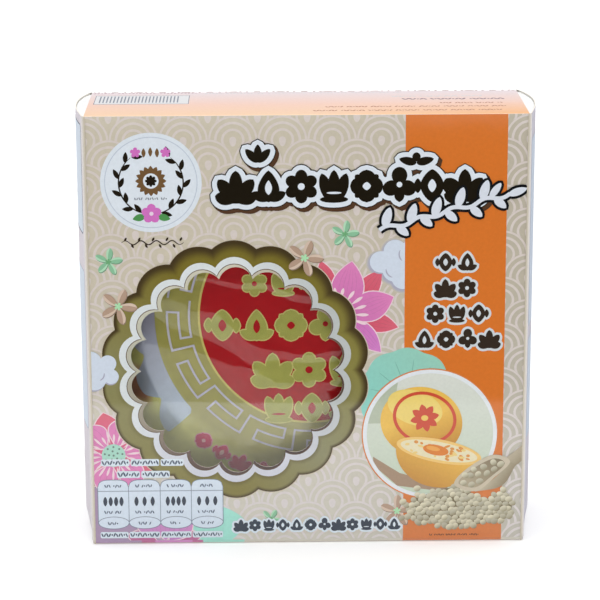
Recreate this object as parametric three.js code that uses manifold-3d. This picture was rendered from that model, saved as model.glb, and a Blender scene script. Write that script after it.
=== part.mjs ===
// Boxed pastry: an upright paperboard carton with a scalloped window, the clear film
// behind the window, and the film-wrapped pastry that stands inside.
// Millimetres, +Z up, front towards -Y, origin at the middle of the carton's foot.

import * as THREE from 'three';
import { mergeVertices } from 'three/addons/utils/BufferGeometryUtils.js';
import Module from 'manifold-3d';

// ---- driving dimensions -------------------------------------------------------------

// Carton, measured over the board
const CARTON_WIDTH = 161;
const CARTON_DEPTH = 50.4;
const CARTON_HEIGHT = 161.7;
const BOARD = 0.5;
const FOLD_RADIUS = 1.4;

// The side walls bow outwards; the bow grows from the foot and peaks behind mid-depth
const SIDE_BOW = 4.0;
const BOW_FADE_HEIGHT = 7;
const BOW_SKEW = 1.2;
const BOW_STEPS = 12;
const WALL_LEVELS = [0, 1.2, 2.4, 3.6, 4.8, 7, 80, CARTON_HEIGHT];

// Flaps
const PANEL_SIDE_GAP = 0.9;
const BOARD_GAP = 0.3;
const LID_TUCK_DEPTH = 18;
const FOOT_TUCK_DEPTH = 14;
const HINGE_OVERLAP = 6;
const DUST_FLAP_REACH = 42;
const DUST_FLAP_TAPER = 9;

// Window: lobes of one circular arc each, between cusps that lie on a circle
const WINDOW_X = -25.9;
const WINDOW_Z = 67;
const LOBES = 18;
const CUSP_RADIUS = 35.1;
const LOBE_RADIUS = 39.1;
const LOBE_STEPS = 8;

// Window film
const FILM_HALF_SIDE = 49;
const FILM_CORNER = 9;
const FILM_THICKNESS = 0.25;

// Wrapped pastry: a round cake drawn tight in a pillow pouch with crimped ends
const POUCH_HALF_WIDTH = 72;
const POUCH_HALF_HEIGHT = 77;
const POUCH_FOOT = 0.9;
const POUCH_SQUARENESS = 5.5;
const POUCH_CENTRE_Y = -2.4;
const CAKE_RADIUS = 63;
const CAKE_HALF_THICKNESS = 19.5;
const CAKE_CROWN = 3.4;
const CAKE_X = 0.8;
const CAKE_ABOVE_MIDDLE = 6;
const SEAL_HALF_THICKNESS = 0.9;
const FILM_FULLNESS = 1.6;
const POUCH_AROUND = 72;
const POUCH_RINGS = 20;
const WRINKLE_DEPTH = 1.1;
const WRINKLES_AROUND = 18;

// ---- closed solids ------------------------------------------------------------------

const wasm = await Module();
wasm.setup();

// A closed geometry as a solid that can be cut and joined
function solidOf(geometry) {
  const bare = geometry.clone();
  bare.deleteAttribute('normal');
  bare.deleteAttribute('uv');
  const merged = mergeVertices(bare, 1e-4);
  return new wasm.Manifold(new wasm.Mesh({
    numProp: 3,
    vertProperties: new Float32Array(merged.attributes.position.array),
    triVerts: new Uint32Array(merged.index.array),
  }));
}

function geometryOf(solid) {
  const { vertProperties, triVerts } = solid.getMesh();
  return indexedGeometry(Array.from(vertProperties), Array.from(triVerts));
}

function indexedGeometry(positions, indices) {
  const geometry = new THREE.BufferGeometry();
  geometry.setAttribute('position', new THREE.Float32BufferAttribute(positions, 3));
  geometry.setIndex(indices);
  geometry.computeVertexNormals();
  return geometry;
}

// Two triangles for the cell between ring points a, b and the next ring's c, d
function cell(a, b, c, d) {
  return [a, b, d, a, d, c];
}

// ---- carton -------------------------------------------------------------------------

// Share of the side bow at a place across the depth (0 front, 1 back) and at a height
function bowAt(y, z) {
  const across = THREE.MathUtils.clamp(y / CARTON_DEPTH + 0.5, 0, 1) ** BOW_SKEW;
  const grown = THREE.MathUtils.smoothstep(z, 0, BOW_FADE_HEIGHT);
  return SIDE_BOW * 4 * across * (1 - across) * grown;
}

// One level of the wall: a rounded rectangle, set in from the outside by inset, whose
// sides are pushed out by the bow. Counter-clockwise from the front left fold.
function wallLoop(inset, z) {
  const x = CARTON_WIDTH / 2 - inset;
  const y = CARTON_DEPTH / 2 - inset;
  const r = FOLD_RADIUS - inset;
  const loop = new THREE.Path();
  loop.moveTo(-x + r, -y);
  loop.absarc(x - r, -y + r, r, -Math.PI / 2, 0);
  for (let i = 1; i < BOW_STEPS; i++) {
    loop.lineTo(x, THREE.MathUtils.lerp(-y + r, y - r, i / BOW_STEPS));
  }
  loop.absarc(x - r, y - r, r, 0, Math.PI / 2);
  loop.absarc(-x + r, y - r, r, Math.PI / 2, Math.PI);
  for (let i = 1; i < BOW_STEPS; i++) {
    loop.lineTo(-x, THREE.MathUtils.lerp(y - r, -y + r, i / BOW_STEPS));
  }
  loop.absarc(-x + r, -y + r, r, Math.PI, 1.5 * Math.PI);
  const points = loop.getPoints(3);
  points.pop();
  return points.map((p) => [p.x + Math.sign(p.x) * bowAt(p.y, z), p.y, z]);
}

// The four walls as one open tube of board
function wallTube() {
  const rings = WALL_LEVELS.flatMap((z) => [wallLoop(0, z), wallLoop(BOARD, z)]);
  const count = rings[0].length;
  const indices = [];
  for (let level = 0; level < WALL_LEVELS.length; level++) {
    const outer = 2 * level * count;
    const inner = outer + count;
    for (let i = 0; i < count; i++) {
      const j = (i + 1) % count;
      if (level === 0) indices.push(...cell(outer + j, outer + i, inner + j, inner + i));
      if (level === WALL_LEVELS.length - 1) {
        indices.push(...cell(outer + i, outer + j, inner + i, inner + j));
        continue;
      }
      const up = 2 * count;
      indices.push(...cell(outer + i, outer + j, outer + up + i, outer + up + j));
      indices.push(...cell(inner + j, inner + i, inner + up + j, inner + up + i));
    }
  }
  return solidOf(indexedGeometry(rings.flat(2), indices));
}

// Outline of a folded band of board. corners are the outer face's [y, z] points, with
// every bend a right angle to the same side; the bends are arcs round a shared centre.
function foldedBand(corners, radius) {
  const points = corners.map(([y, z]) => new THREE.Vector2(y, z));
  const runs = points.slice(1).map((p, i) => p.clone().sub(points[i]).normalize());
  const side = (depth) => {
    const line = [points[0].clone().addScaledVector(runs[1], depth)];
    for (let i = 1; i < points.length - 1; i++) {
      const before = runs[i - 1];
      const after = runs[i];
      const centre = points[i].clone().addScaledVector(before, -radius).addScaledVector(after, radius);
      for (let step = 0; step <= 4; step++) {
        const turn = (step / 4) * (Math.PI / 2);
        line.push(centre.clone()
          .addScaledVector(after, -(radius - depth) * Math.cos(turn))
          .addScaledVector(before, (radius - depth) * Math.sin(turn)));
      }
    }
    const last = points[points.length - 1].clone();
    line.push(last.addScaledVector(runs[runs.length - 2], -depth));
    return line;
  };
  return new THREE.Shape([...side(0), ...side(BOARD).reverse()]);
}

// A [y, z] outline run across the carton's width
function acrossWidth(shape, halfWidth) {
  const geometry = new THREE.ExtrudeGeometry(shape, { depth: 2 * halfWidth, bevelEnabled: false });
  const axes = new THREE.Matrix4().makeBasis(
    new THREE.Vector3(0, 1, 0), new THREE.Vector3(0, 0, 1), new THREE.Vector3(1, 0, 0));
  geometry.applyMatrix4(axes).translate(-halfWidth, 0, 0);
  return solidOf(geometry);
}

// Everything inside the rounded folds at the lid's hinge and the foot's hinge
function foldEnvelope() {
  const y = CARTON_DEPTH / 2;
  const r = FOLD_RADIUS;
  const outline = new THREE.Shape();
  outline.moveTo(-y, r);
  outline.absarc(-y + r, r, r, Math.PI, 1.5 * Math.PI);
  outline.lineTo(y, 0);
  outline.lineTo(y, CARTON_HEIGHT - r);
  outline.absarc(y - r, CARTON_HEIGHT - r, r, 0, Math.PI / 2);
  outline.lineTo(-y, CARTON_HEIGHT);
  return acrossWidth(outline, CARTON_WIDTH);
}

// Lid: hinged along the back wall's top, its front edge tucked behind the front wall
function lid() {
  const back = CARTON_DEPTH / 2;
  const tuck = -CARTON_DEPTH / 2 + BOARD + BOARD_GAP;
  const top = CARTON_HEIGHT;
  const outline = foldedBand(
    [[back, top - HINGE_OVERLAP], [back, top], [tuck, top], [tuck, top - LID_TUCK_DEPTH]], FOLD_RADIUS);
  return acrossWidth(outline, CARTON_WIDTH / 2 - PANEL_SIDE_GAP);
}

// Foot: hinged along the front wall's bottom, its back edge tucked inside the back wall
function foot() {
  const front = -CARTON_DEPTH / 2;
  const tuck = CARTON_DEPTH / 2 - BOARD - BOARD_GAP;
  const outline = foldedBand(
    [[front, HINGE_OVERLAP], [front, 0], [tuck, 0], [tuck, FOOT_TUCK_DEPTH]], FOLD_RADIUS);
  return acrossWidth(outline, CARTON_WIDTH / 2 - PANEL_SIDE_GAP);
}

// Dust flap: hinged on a side wall and turned in flat. side is -1 left, +1 right; its
// outer edge follows the bow of that wall at its own height.
function dustFlap(side, bottom) {
  const hinge = (y) => CARTON_WIDTH / 2 - BOARD / 2 + bowAt(y, bottom);
  const reach = CARTON_WIDTH / 2 - DUST_FLAP_REACH;
  const y = CARTON_DEPTH / 2 - FOLD_RADIUS - BOARD;
  const outline = new THREE.Shape();
  outline.moveTo(side * reach, -y + DUST_FLAP_TAPER);
  for (let i = 0; i <= BOW_STEPS; i++) {
    const place = THREE.MathUtils.lerp(-y, y, i / BOW_STEPS);
    outline.lineTo(side * hinge(place), place);
  }
  outline.lineTo(side * reach, y - DUST_FLAP_TAPER);
  const geometry = new THREE.ExtrudeGeometry(outline, { depth: BOARD, bevelEnabled: false });
  return solidOf(geometry.translate(0, 0, bottom));
}

// Scalloped outline in the plane of the front wall. Each lobe is the arc through two
// neighbouring cusps and the lobe's tip.
function lobedOutline(cuspRadius, lobeRadius) {
  const half = Math.PI / LOBES;
  const chord = cuspRadius * Math.sin(half);
  const rise = lobeRadius - cuspRadius * Math.cos(half);
  const arcRadius = (chord * chord + rise * rise) / (2 * rise);
  const arcCentre = lobeRadius - arcRadius;
  const sweep = Math.atan2(chord, cuspRadius * Math.cos(half) - arcCentre);
  const outline = new THREE.Shape();
  outline.moveTo(cuspRadius * Math.cos(half), -cuspRadius * Math.sin(half));
  for (let lobe = 0; lobe < LOBES; lobe++) {
    const turn = 2 * half * lobe;
    outline.absarc(arcCentre * Math.cos(turn), arcCentre * Math.sin(turn), arcRadius,
      turn - sweep, turn + sweep);
  }
  return outline;
}

// Turned by half a lobe, so that cusps lie level with the middle
function windowCutter() {
  const outline = lobedOutline(CUSP_RADIUS, LOBE_RADIUS);
  const depth = 4;
  const geometry = new THREE.ExtrudeGeometry(
    outline, { depth, bevelEnabled: false, curveSegments: LOBE_STEPS });
  geometry.rotateZ(Math.PI / LOBES).rotateX(Math.PI / 2);
  geometry.translate(WINDOW_X, -CARTON_DEPTH / 2 + depth / 2, WINDOW_Z);
  return solidOf(geometry);
}

function cartonGeometry() {
  const topFlap = CARTON_HEIGHT - 2 * BOARD - BOARD_GAP;
  const footFlap = BOARD + BOARD_GAP;
  let board = wallTube().intersect(foldEnvelope());
  board = trimWallEnds(board);
  board = board.add(lid()).add(foot());
  for (const side of [-1, 1]) {
    board = board.add(dustFlap(side, topFlap)).add(dustFlap(side, footFlap));
  }
  return geometryOf(board.subtract(windowCutter()));
}

// The front and side walls end just under the lid, and the back and side walls just
// above the floor, where the board has been cut or turned in
function trimWallEnds(board) {
  const slab = (y0, y1, z0, z1) => {
    const geometry = new THREE.BoxGeometry(2 * CARTON_WIDTH, y1 - y0, z1 - z0);
    return solidOf(geometry.translate(0, (y0 + y1) / 2, (z0 + z1) / 2));
  };
  const y = CARTON_DEPTH;
  const hinge = CARTON_DEPTH / 2 - FOLD_RADIUS;
  const above = slab(-y, hinge, CARTON_HEIGHT - BOARD - BOARD_GAP, 2 * CARTON_HEIGHT);
  const below = slab(-hinge, y, -CARTON_HEIGHT, BOARD_GAP);
  return board.subtract(above).subtract(below);
}

// ---- window film --------------------------------------------------------------------

// A flat sheet with cut corners, glued inside the front wall
function windowFilmGeometry() {
  const s = FILM_HALF_SIDE;
  const c = s - FILM_CORNER;
  const outline = new THREE.Shape();
  outline.moveTo(-c, -s);
  for (const [x, z] of [[c, -s], [s, -c], [s, c], [c, s], [-c, s], [-s, c], [-s, -c]]) {
    outline.lineTo(x, z);
  }
  const geometry = new THREE.ExtrudeGeometry(outline, { depth: FILM_THICKNESS, bevelEnabled: false });
  const back = -CARTON_DEPTH / 2 + BOARD + BOARD_GAP + FILM_THICKNESS;
  geometry.rotateX(Math.PI / 2).translate(WINDOW_X, back, WINDOW_Z);
  return geometryOf(solidOf(geometry));
}

// ---- wrapped pastry -----------------------------------------------------------------

// Distance from the pouch's middle to its outline, a rounded rectangle by superellipse
function pouchReach(angle) {
  const across = Math.abs(Math.cos(angle)) / POUCH_HALF_WIDTH;
  const up = Math.abs(Math.sin(angle)) / POUCH_HALF_HEIGHT;
  return (across ** POUCH_SQUARENESS + up ** POUCH_SQUARENESS) ** (-1 / POUCH_SQUARENESS);
}

// Half thickness at a point of the pouch: the crowned cake, or the puffed film that falls
// from the cake's rim to the flat seal, with gathers that fan out from the rim
function pouchHalfThickness(x, z, angle, share) {
  const r = Math.hypot(x - CAKE_X, z - CAKE_ABOVE_MIDDLE) / CAKE_RADIUS;
  const crown = CAKE_HALF_THICKNESS - CAKE_CROWN * Math.min(r, 1) ** 4;
  if (r <= 1) return crown;
  const out = (r - 1) * CAKE_RADIUS;
  const run = pouchReach(angle) * (1 - share) + out;
  const fall = Math.max(1 - out / run, 0);
  const gather = WRINKLE_DEPTH * Math.sin(WRINKLES_AROUND * angle) * 4 * fall * (1 - fall);
  return SEAL_HALF_THICKNESS + (crown - SEAL_HALF_THICKNESS) * fall ** (1 / FILM_FULLNESS) + gather;
}

// Rings run from the middle of the front, over the seal, to the middle of the back
function wrappedPastryGeometry() {
  const middleZ = POUCH_FOOT + POUCH_HALF_HEIGHT;
  const positions = [];
  const indices = [];
  const ringStart = (ring) => 1 + ring * POUCH_AROUND;
  const addPoint = (angle, share, face) => {
    const reach = pouchReach(angle) * share;
    const x = reach * Math.cos(angle);
    const z = reach * Math.sin(angle);
    const half = pouchHalfThickness(x, z, angle, share);
    positions.push(x, POUCH_CENTRE_Y + face * half, middleZ + z);
  };
  const faces = [];
  for (let ring = 1; ring <= POUCH_RINGS; ring++) faces.push([ring / POUCH_RINGS, -1]);
  for (let ring = POUCH_RINGS; ring >= 1; ring--) faces.push([ring / POUCH_RINGS, 1]);
  addPoint(0, 0, -1);
  for (const [share, face] of faces) {
    for (let i = 0; i < POUCH_AROUND; i++) addPoint((2 * Math.PI * i) / POUCH_AROUND, share, face);
  }
  addPoint(0, 0, 1);
  const last = positions.length / 3 - 1;
  for (let i = 0; i < POUCH_AROUND; i++) {
    const j = (i + 1) % POUCH_AROUND;
    indices.push(0, ringStart(0) + i, ringStart(0) + j);
    for (let ring = 0; ring < faces.length - 1; ring++) {
      const a = ringStart(ring);
      const b = ringStart(ring + 1);
      indices.push(...cell(a + j, a + i, b + j, b + i));
    }
    indices.push(last, ringStart(faces.length - 1) + j, ringStart(faces.length - 1) + i);
  }
  return geometryOf(solidOf(indexedGeometry(positions, indices)));
}

// ---- the object ---------------------------------------------------------------------

function piece(name, geometry, color, roughness, options = {}) {
  const material = new THREE.MeshStandardMaterial({ color, roughness, metalness: 0, ...options });
  const mesh = new THREE.Mesh(geometry, material);
  mesh.name = name;
  return mesh;
}

const boxedPastry = new THREE.Group();
boxedPastry.add(piece('carton', cartonGeometry(), 0xd8c8ae, 0.55));
boxedPastry.add(piece('window_film', windowFilmGeometry(), 0xe8edf0, 0.1, {
  transparent: true,
  opacity: 0.25,
}));
boxedPastry.add(piece('wrapped_pastry', wrappedPastryGeometry(), 0xa81824, 0.25));

export default boxedPastry;
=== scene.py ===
"""A shut, upright pastry carton with a scalloped window, the clear film behind the window
and the wrapped round pastry that shows through it.

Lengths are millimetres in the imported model's frame (x right, y back, z up) and become
metres when a mesh is made. What is printed on the board lies on it as thin sheets of ink,
each a small step further out than the one below, so that every printed edge is a real edge.
"""
import math

import bpy
import numpy as np
from mathutils import Matrix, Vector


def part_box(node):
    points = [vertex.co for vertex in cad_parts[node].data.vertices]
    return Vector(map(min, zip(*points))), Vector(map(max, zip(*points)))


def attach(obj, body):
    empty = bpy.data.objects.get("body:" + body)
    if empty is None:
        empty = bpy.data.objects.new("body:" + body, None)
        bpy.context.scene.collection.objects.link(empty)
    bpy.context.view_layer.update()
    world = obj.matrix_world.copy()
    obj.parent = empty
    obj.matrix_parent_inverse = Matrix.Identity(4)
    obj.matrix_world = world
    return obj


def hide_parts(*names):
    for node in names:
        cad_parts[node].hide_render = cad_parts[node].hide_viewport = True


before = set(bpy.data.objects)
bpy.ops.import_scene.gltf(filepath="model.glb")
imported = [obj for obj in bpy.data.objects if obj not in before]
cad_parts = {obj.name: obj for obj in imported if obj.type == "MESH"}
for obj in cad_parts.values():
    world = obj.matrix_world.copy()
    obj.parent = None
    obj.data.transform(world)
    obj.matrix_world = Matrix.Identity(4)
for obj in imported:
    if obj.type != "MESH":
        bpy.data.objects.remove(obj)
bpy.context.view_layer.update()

MM = 0.001

# ---- sizes --------------------------------------------------------------------------

BOX_LOW, BOX_HIGH = (np.array(corner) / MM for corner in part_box("carton"))
FILM_LOW, FILM_HIGH = (np.array(corner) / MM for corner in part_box("window_film"))
POUCH_LOW, POUCH_HIGH = (np.array(corner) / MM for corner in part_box("wrapped_pastry"))

# Carton
WIDTH = 161.0
DEPTH = BOX_HIGH[1] - BOX_LOW[1]
HEIGHT = BOX_HIGH[2] - BOX_LOW[2]
SIDE_BOW = (BOX_HIGH[0] - BOX_LOW[0] - WIDTH) / 2
BOW_FADE_HEIGHT = 7.0
BOW_SKEW = 1.2
FOLD_RADIUS = 1.4
BOARD = 0.42
PANEL_SIDE_GAP = 0.9
TUCK_GAP = 0.3
LID_TUCK_DEPTH = 18.0
FOOT_TUCK_DEPTH = 14.0
DUST_FLAP_REACH = 42.0
DUST_FLAP_TAPER = 9.0
FLAP_SLIT = 0.15

# Ink: the board lies INK_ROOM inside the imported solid, and the ink fills that room in levels
# of INK_STEP. Patches of one level take turns at PATCH_LIFTS heights, PATCH_STEP levels apart
INK_ROOM = 0.26
INK_STEP = 0.016
PATCH_STEP = 0.025
PATCH_LIFTS = 36
LID_TOP = HEIGHT - INK_ROOM / 2
WALL_TOP = HEIGHT - 0.08
FOOT_BASE = 0.1
FOOT_BEND = FOOT_BASE + FOLD_RADIUS
FRONT_LOW = np.array([-WIDTH / 2 + FOLD_RADIUS, FOOT_BEND])
FRONT_HIGH = np.array([WIDTH / 2 - FOLD_RADIUS, WALL_TOP - 0.04])

# Window: the cut edge, and the rings printed round it, as cusp and lobe-tip radii
LOBES = 18
WINDOW = np.array([-25.9, 67.0])
PRINTED_WINDOW = np.array([-26.5, 67.0])
CUT_EDGE = (35.1, 39.1)
RIM_INNER = (36.4, 40.4)
RIM_OUTER = (39.5, 42.9)
FRAME_OUTER = (46.5, 49.1)
UNDER_FRAME = (*PRINTED_WINDOW, 43.5)
BAND_X = (35.3, 71.9)

# Wave pattern: fans in rows, each row half a fan to the side of the last
FAN_RADIUS = 8.86
FAN_ROW = 8.55
FAN_ORIGIN = np.array([0.1, 152.8])

# Pouch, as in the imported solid
POUCH_SQUARENESS = 5.5
CAKE = np.array([0.8, 6.0])
CAKE_RADIUS = 63.0
CAKE_CROWN = 3.4
SEAL_HALF_THICKNESS = 0.9
FILM_FULLNESS = 1.6
WRINKLE_DEPTH = 1.1
WRINKLES_AROUND = 18
PRINT_CENTRE = np.array([1.3, 86.3])
FILM_ROOM = 0.5
# Steps in the stretched film: x and height of each one's upper edge, its width below that
# edge, and its slope. Below a step the film lies further in.
FILM_STEPS = [
    ([-60, -44, -35.4, -25.4, -15, -4.5, 4, 30],
     [102.5, 102, 101, 100.1, 98.6, 95.4, 92.6, 90],
     [0.4, 2.2, 3.0, 3.4, 2.6, 3.2, 3.4, 1.0], 0.17),
    ([-60, -50, -38.7, -33.3, -26.5, -21.1, -12.9, -5, 10, 30],
     [94, 93.5, 91.6, 88.3, 80.8, 76.5, 73.1, 71.9, 72.4, 74],
     [4, 12.5, 12.8, 12.8, 9.2, 7.8, 3.6, 2.8, 3.4, 2.0], 0.115),
    ([-60, -50, -37.6, -26.7, -19.3, -12.9, 0.8, 14, 40],
     [76, 74, 71.2, 66.9, 64.5, 61.6, 59.6, 61.5, 60], [50] * 9, 0.062),
]

# ---- flat patches: points (n, 2) and a list of face arrays -----------------------------


def quads(rows, columns, closed=False):
    """Faces that join a grid of points, numbered row by row; closed joins each row's ends."""
    index = np.arange(rows * columns).reshape(rows, columns)
    if closed:
        index = np.hstack([index, index[:, :1]])
    corners = index[:-1, :-1], index[:-1, 1:], index[1:, 1:], index[1:, :-1]
    return np.stack(corners, axis=-1).reshape(-1, 4)


def signed_areas(points, faces):
    """Shoelace area of every face, positive where its points run counter-clockwise."""
    x, z = points[faces].transpose(2, 0, 1)
    return np.sum(x * np.roll(z, -1, axis=1) - np.roll(x, -1, axis=1) * z, axis=1) / 2


def facing(points, faces):
    """The same patch with its faces turned counter-clockwise."""
    turn = np.sum(signed_areas(points, faces[-1])) < 0
    return points, [f[:, ::-1] for f in faces] if turn else faces


def strip(first, last, steps=1, closed=False):
    """Patch between two lines: (1 - t) first + t last at steps + 1 even values of t."""
    t = np.linspace(0, 1, steps + 1)[:, None, None]
    points = (1 - t) * first + t * last
    return facing(points.reshape(-1, 2), [quads(steps + 1, len(first), closed)])


def rectangle(x, z, steps):
    """Patch over the ranges x and z, in even steps up its height."""
    lower, upper = (np.column_stack([x, [height, height]]) for height in z)
    return strip(lower, upper, steps)


def fan(outline, centre=None, rings=1):
    """Patch inside an outline: its rings stand at even shares of the way out from a centre."""
    centre = outline.mean(axis=0) if centre is None else np.asarray(centre, float)
    share = np.linspace(0, 1, rings + 1)[1:, None, None]
    points = centre + share * (outline - centre)
    ring = np.arange(len(outline))
    hub = np.full(len(outline), rings * len(outline))
    faces = [np.stack([hub, ring, np.roll(ring, -1)], axis=-1)]
    if rings > 1:
        faces.insert(0, quads(rings, len(outline), True)[:, ::-1])
    return facing(np.vstack([points.reshape(-1, 2), centre]), faces)


def fans(outlines, rings=1):
    return [fan(outline, rings=rings) for outline in outlines]


def copies(patch, offsets):
    """One patch repeated at every offset, as a single patch."""
    points, faces = patch
    offsets = np.asarray(offsets, float)
    moved = (points[None] + offsets[:, None]).reshape(-1, 2)
    step = (np.arange(len(offsets)) * len(points))[:, None, None]
    return moved, [(f[None] + step).reshape(-1, f.shape[1]) for f in faces]


def trim(patch, low=None, high=None, hole=None, within=None):
    """Pull a patch's points into a rectangle, out of the disc hole (x, z, radius) or into the
    disc within, and drop the faces that lie wholly outside or that this flattens."""
    points, faces = patch
    lost = np.zeros(len(points), bool)
    if low is not None:
        lost |= np.any((points < low) | (points > high), axis=1)
        points = np.clip(points, low, high)
    for disc, side in ((hole, 1), (within, -1)):
        if disc is not None:
            away = points - disc[:2]
            r = np.maximum(np.linalg.norm(away, axis=1, keepdims=True), 1e-9)
            out = side * (disc[2] - r) > 0
            points = np.where(out, disc[:2] + away * disc[2] / r, points)
            lost |= out[:, 0]
    return points, [f[(signed_areas(points, f) > 1e-4) & ~np.all(lost[f], axis=1)] for f in faces]


# ---- outlines: closed lines of points (n, 2) --------------------------------------------


def turned(points, degrees, centre=(0, 0)):
    """Points turned counter-clockwise about the origin and then moved to a centre."""
    c, s = math.cos(math.radians(degrees)), math.sin(math.radians(degrees))
    return points @ np.array([[c, s], [-s, c]]) + centre


def around(radius, degrees, centre):
    """The point, or points, at a distance and one or more directions from a centre."""
    a = np.radians(degrees)
    return np.stack([centre[0] + radius * np.cos(a), centre[1] + radius * np.sin(a)], axis=-1)


def ellipse(width, height, centre=(0, 0), tilt=0, count=40):
    """x = width / 2 cos t, z = height / 2 sin t."""
    t = np.linspace(0, 2 * np.pi, count, endpoint=False)
    return turned(np.column_stack([width / 2 * np.cos(t), height / 2 * np.sin(t)]), tilt, centre)


def round_box(width, height, radius=0.0, centre=(0, 0), corner_steps=5):
    """Rectangle whose corners are quarter circles."""
    t = np.linspace(0, np.pi / 2, corner_steps) + np.arange(4)[:, None] * np.pi / 2
    signs = np.array([[1, 1], [-1, 1], [-1, -1], [1, -1]])
    middles = signs * (np.array([width, height]) / 2 - radius)
    arcs = middles[:, None] + radius * np.stack([np.cos(t), np.sin(t)], axis=-1)
    return arcs.reshape(-1, 2) + centre


def petal(length, width, belly=0.8, point=1.0, base=(0, 0), tilt=0, count=12):
    """Leaf shape along +x: half width w sin(pi t^belly)^point at the share t of its length."""
    t = np.linspace(0, 1, count)
    half = width / 2 * np.sin(np.pi * t**belly) ** point
    lower = np.column_stack([length * t, -half])
    upper = np.column_stack([length * t, half])[::-1][1:-1]
    return turned(np.vstack([lower, upper]), tilt, base)


def rosette(lobes, radius, waist=0.3, roundness=0.6, centre=(0, 0), tilt=0, count=72):
    """Flower outline r = radius (1 - waist (1 - |cos(lobes a / 2)|^roundness))."""
    a = np.linspace(0, 2 * np.pi, count, endpoint=False)
    r = radius * (1 - waist * (1 - np.abs(np.cos(lobes * a / 2)) ** roundness))
    return turned(np.column_stack([r * np.cos(a), r * np.sin(a)]), tilt, centre)


def lozenge(width, height, fullness=1.25, centre=(0, 0), count=32):
    """Superellipse |x|^p + |z|^p = 1 with a low power p, so its four corners are points."""
    t = np.linspace(0, 2 * np.pi, count, endpoint=False)
    x = np.sign(np.cos(t)) * np.abs(np.cos(t)) ** (2 / fullness)
    z = np.sign(np.sin(t)) * np.abs(np.sin(t)) ** (2 / fullness)
    return np.column_stack([width / 2 * x, height / 2 * z]) + centre


def lumps(circles, centre, count=90):
    """Outline of a union of circles (x, z, radius) seen from a centre: in each direction
    the furthest point where a ray from the centre leaves a circle."""
    a = np.linspace(0, 2 * np.pi, count, endpoint=False)
    ray = np.column_stack([np.cos(a), np.sin(a)])
    circles = np.asarray(circles, float)
    to_middle = circles[:, :2] - centre
    along = ray @ to_middle.T
    inside = circles[:, 2] ** 2 - np.sum(to_middle**2, axis=1) + along**2
    reach = np.where(inside > 0, along + np.sqrt(np.maximum(inside, 0)), 0).max(axis=1)
    return centre + ray * reach[:, None]


def grown(outline, distance):
    """Outline moved along its own normals: outwards, or inwards by a negative distance."""
    along = np.roll(outline, -1, axis=0) - np.roll(outline, 1, axis=0)
    normal = np.column_stack([along[:, 1], -along[:, 0]])
    normal /= np.maximum(np.linalg.norm(normal, axis=1, keepdims=True), 1e-9)
    area = signed_areas(outline, np.arange(len(outline))[None])
    return outline + np.sign(area) * distance * normal


def lobed(radii, centre=WINDOW, steps=12):
    """Scalloped ring of LOBES arcs, its cusps level with the centre. Each arc runs through
    two cusps and the tip: with half chord h and rise s its radius is (h^2 + s^2) / 2s."""
    cusp, tip = radii
    half = np.pi / LOBES
    rise = tip - cusp * np.cos(half)
    chord = cusp * np.sin(half)
    arc = (chord**2 + rise**2) / (2 * rise)
    middle = tip - arc
    sweep = np.arctan2(chord, cusp * np.cos(half) - middle)
    t = np.linspace(-sweep, sweep, steps, endpoint=False)[None, :]
    lobe = (2 * np.arange(LOBES) + 1)[:, None] * half
    x = middle * np.cos(lobe) + arc * np.cos(lobe + t)
    z = middle * np.sin(lobe) + arc * np.sin(lobe + t)
    return np.column_stack([x.ravel(), z.ravel()]) + centre


def ribbon(path, widths, taper=0.0):
    """Strip along a path: the path moved to both sides by half its width, which falls by
    the share taper towards both ends."""
    path = np.asarray(path, float)
    along = np.gradient(path, axis=0)
    normal = np.column_stack([-along[:, 1], along[:, 0]])
    normal /= np.linalg.norm(normal, axis=1, keepdims=True)
    t = np.linspace(-1, 1, len(path))[:, None]
    half = widths / 2 * (1 - taper * t**4)
    return strip(path - half * normal, path + half * normal)


def smooth_path(corners, per_corner=8):
    """Catmull-Rom curve through a few points."""
    p = np.asarray(corners, float)
    p = np.vstack([2 * p[0] - p[1], p, 2 * p[-1] - p[-2]])
    t = np.linspace(0, 1, per_corner, endpoint=False)[None, :, None]
    a, b, c, d = (p[i:len(p) - 3 + i, None] for i in range(4))
    run = 0.5 * (2 * b + (c - a) * t + (2 * a - 5 * b + 4 * c - d) * t**2
                 + (3 * b - a - 3 * c + d) * t**3)
    return np.vstack([run.reshape(-1, 2), p[-2]])


def smooth_ring(corners, per_corner=6):
    """Closed Catmull-Rom curve through a few points."""
    p = np.asarray(corners, float)
    return smooth_path(np.vstack([p[-1:], p, p[:2]]), per_corner)[per_corner:-per_corner - 1]


def inside_outline(points, outline):
    """Even-odd test: a point is inside when a ray to the right crosses the outline an odd
    number of times."""
    a, b = outline, np.roll(outline, -1, axis=0)
    x, z = points[:, :1], points[:, 1:]
    crosses = (a[:, 1] > z) != (b[:, 1] > z)
    at = a[:, 0] + (z - a[:, 1]) * (b[:, 0] - a[:, 0]) / (b[:, 1] - a[:, 1] + 1e-12)
    return np.sum(crosses & (x < at), axis=1) % 2 == 1


# ---- meshes -----------------------------------------------------------------------------


def linear(colour):
    """A colour of 0 to 255 screen values as scene light."""
    c = np.asarray(colour, float) / 255
    return np.where(c <= 0.04045, c / 12.92, ((c + 0.055) / 1.055) ** 2.4)


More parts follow.
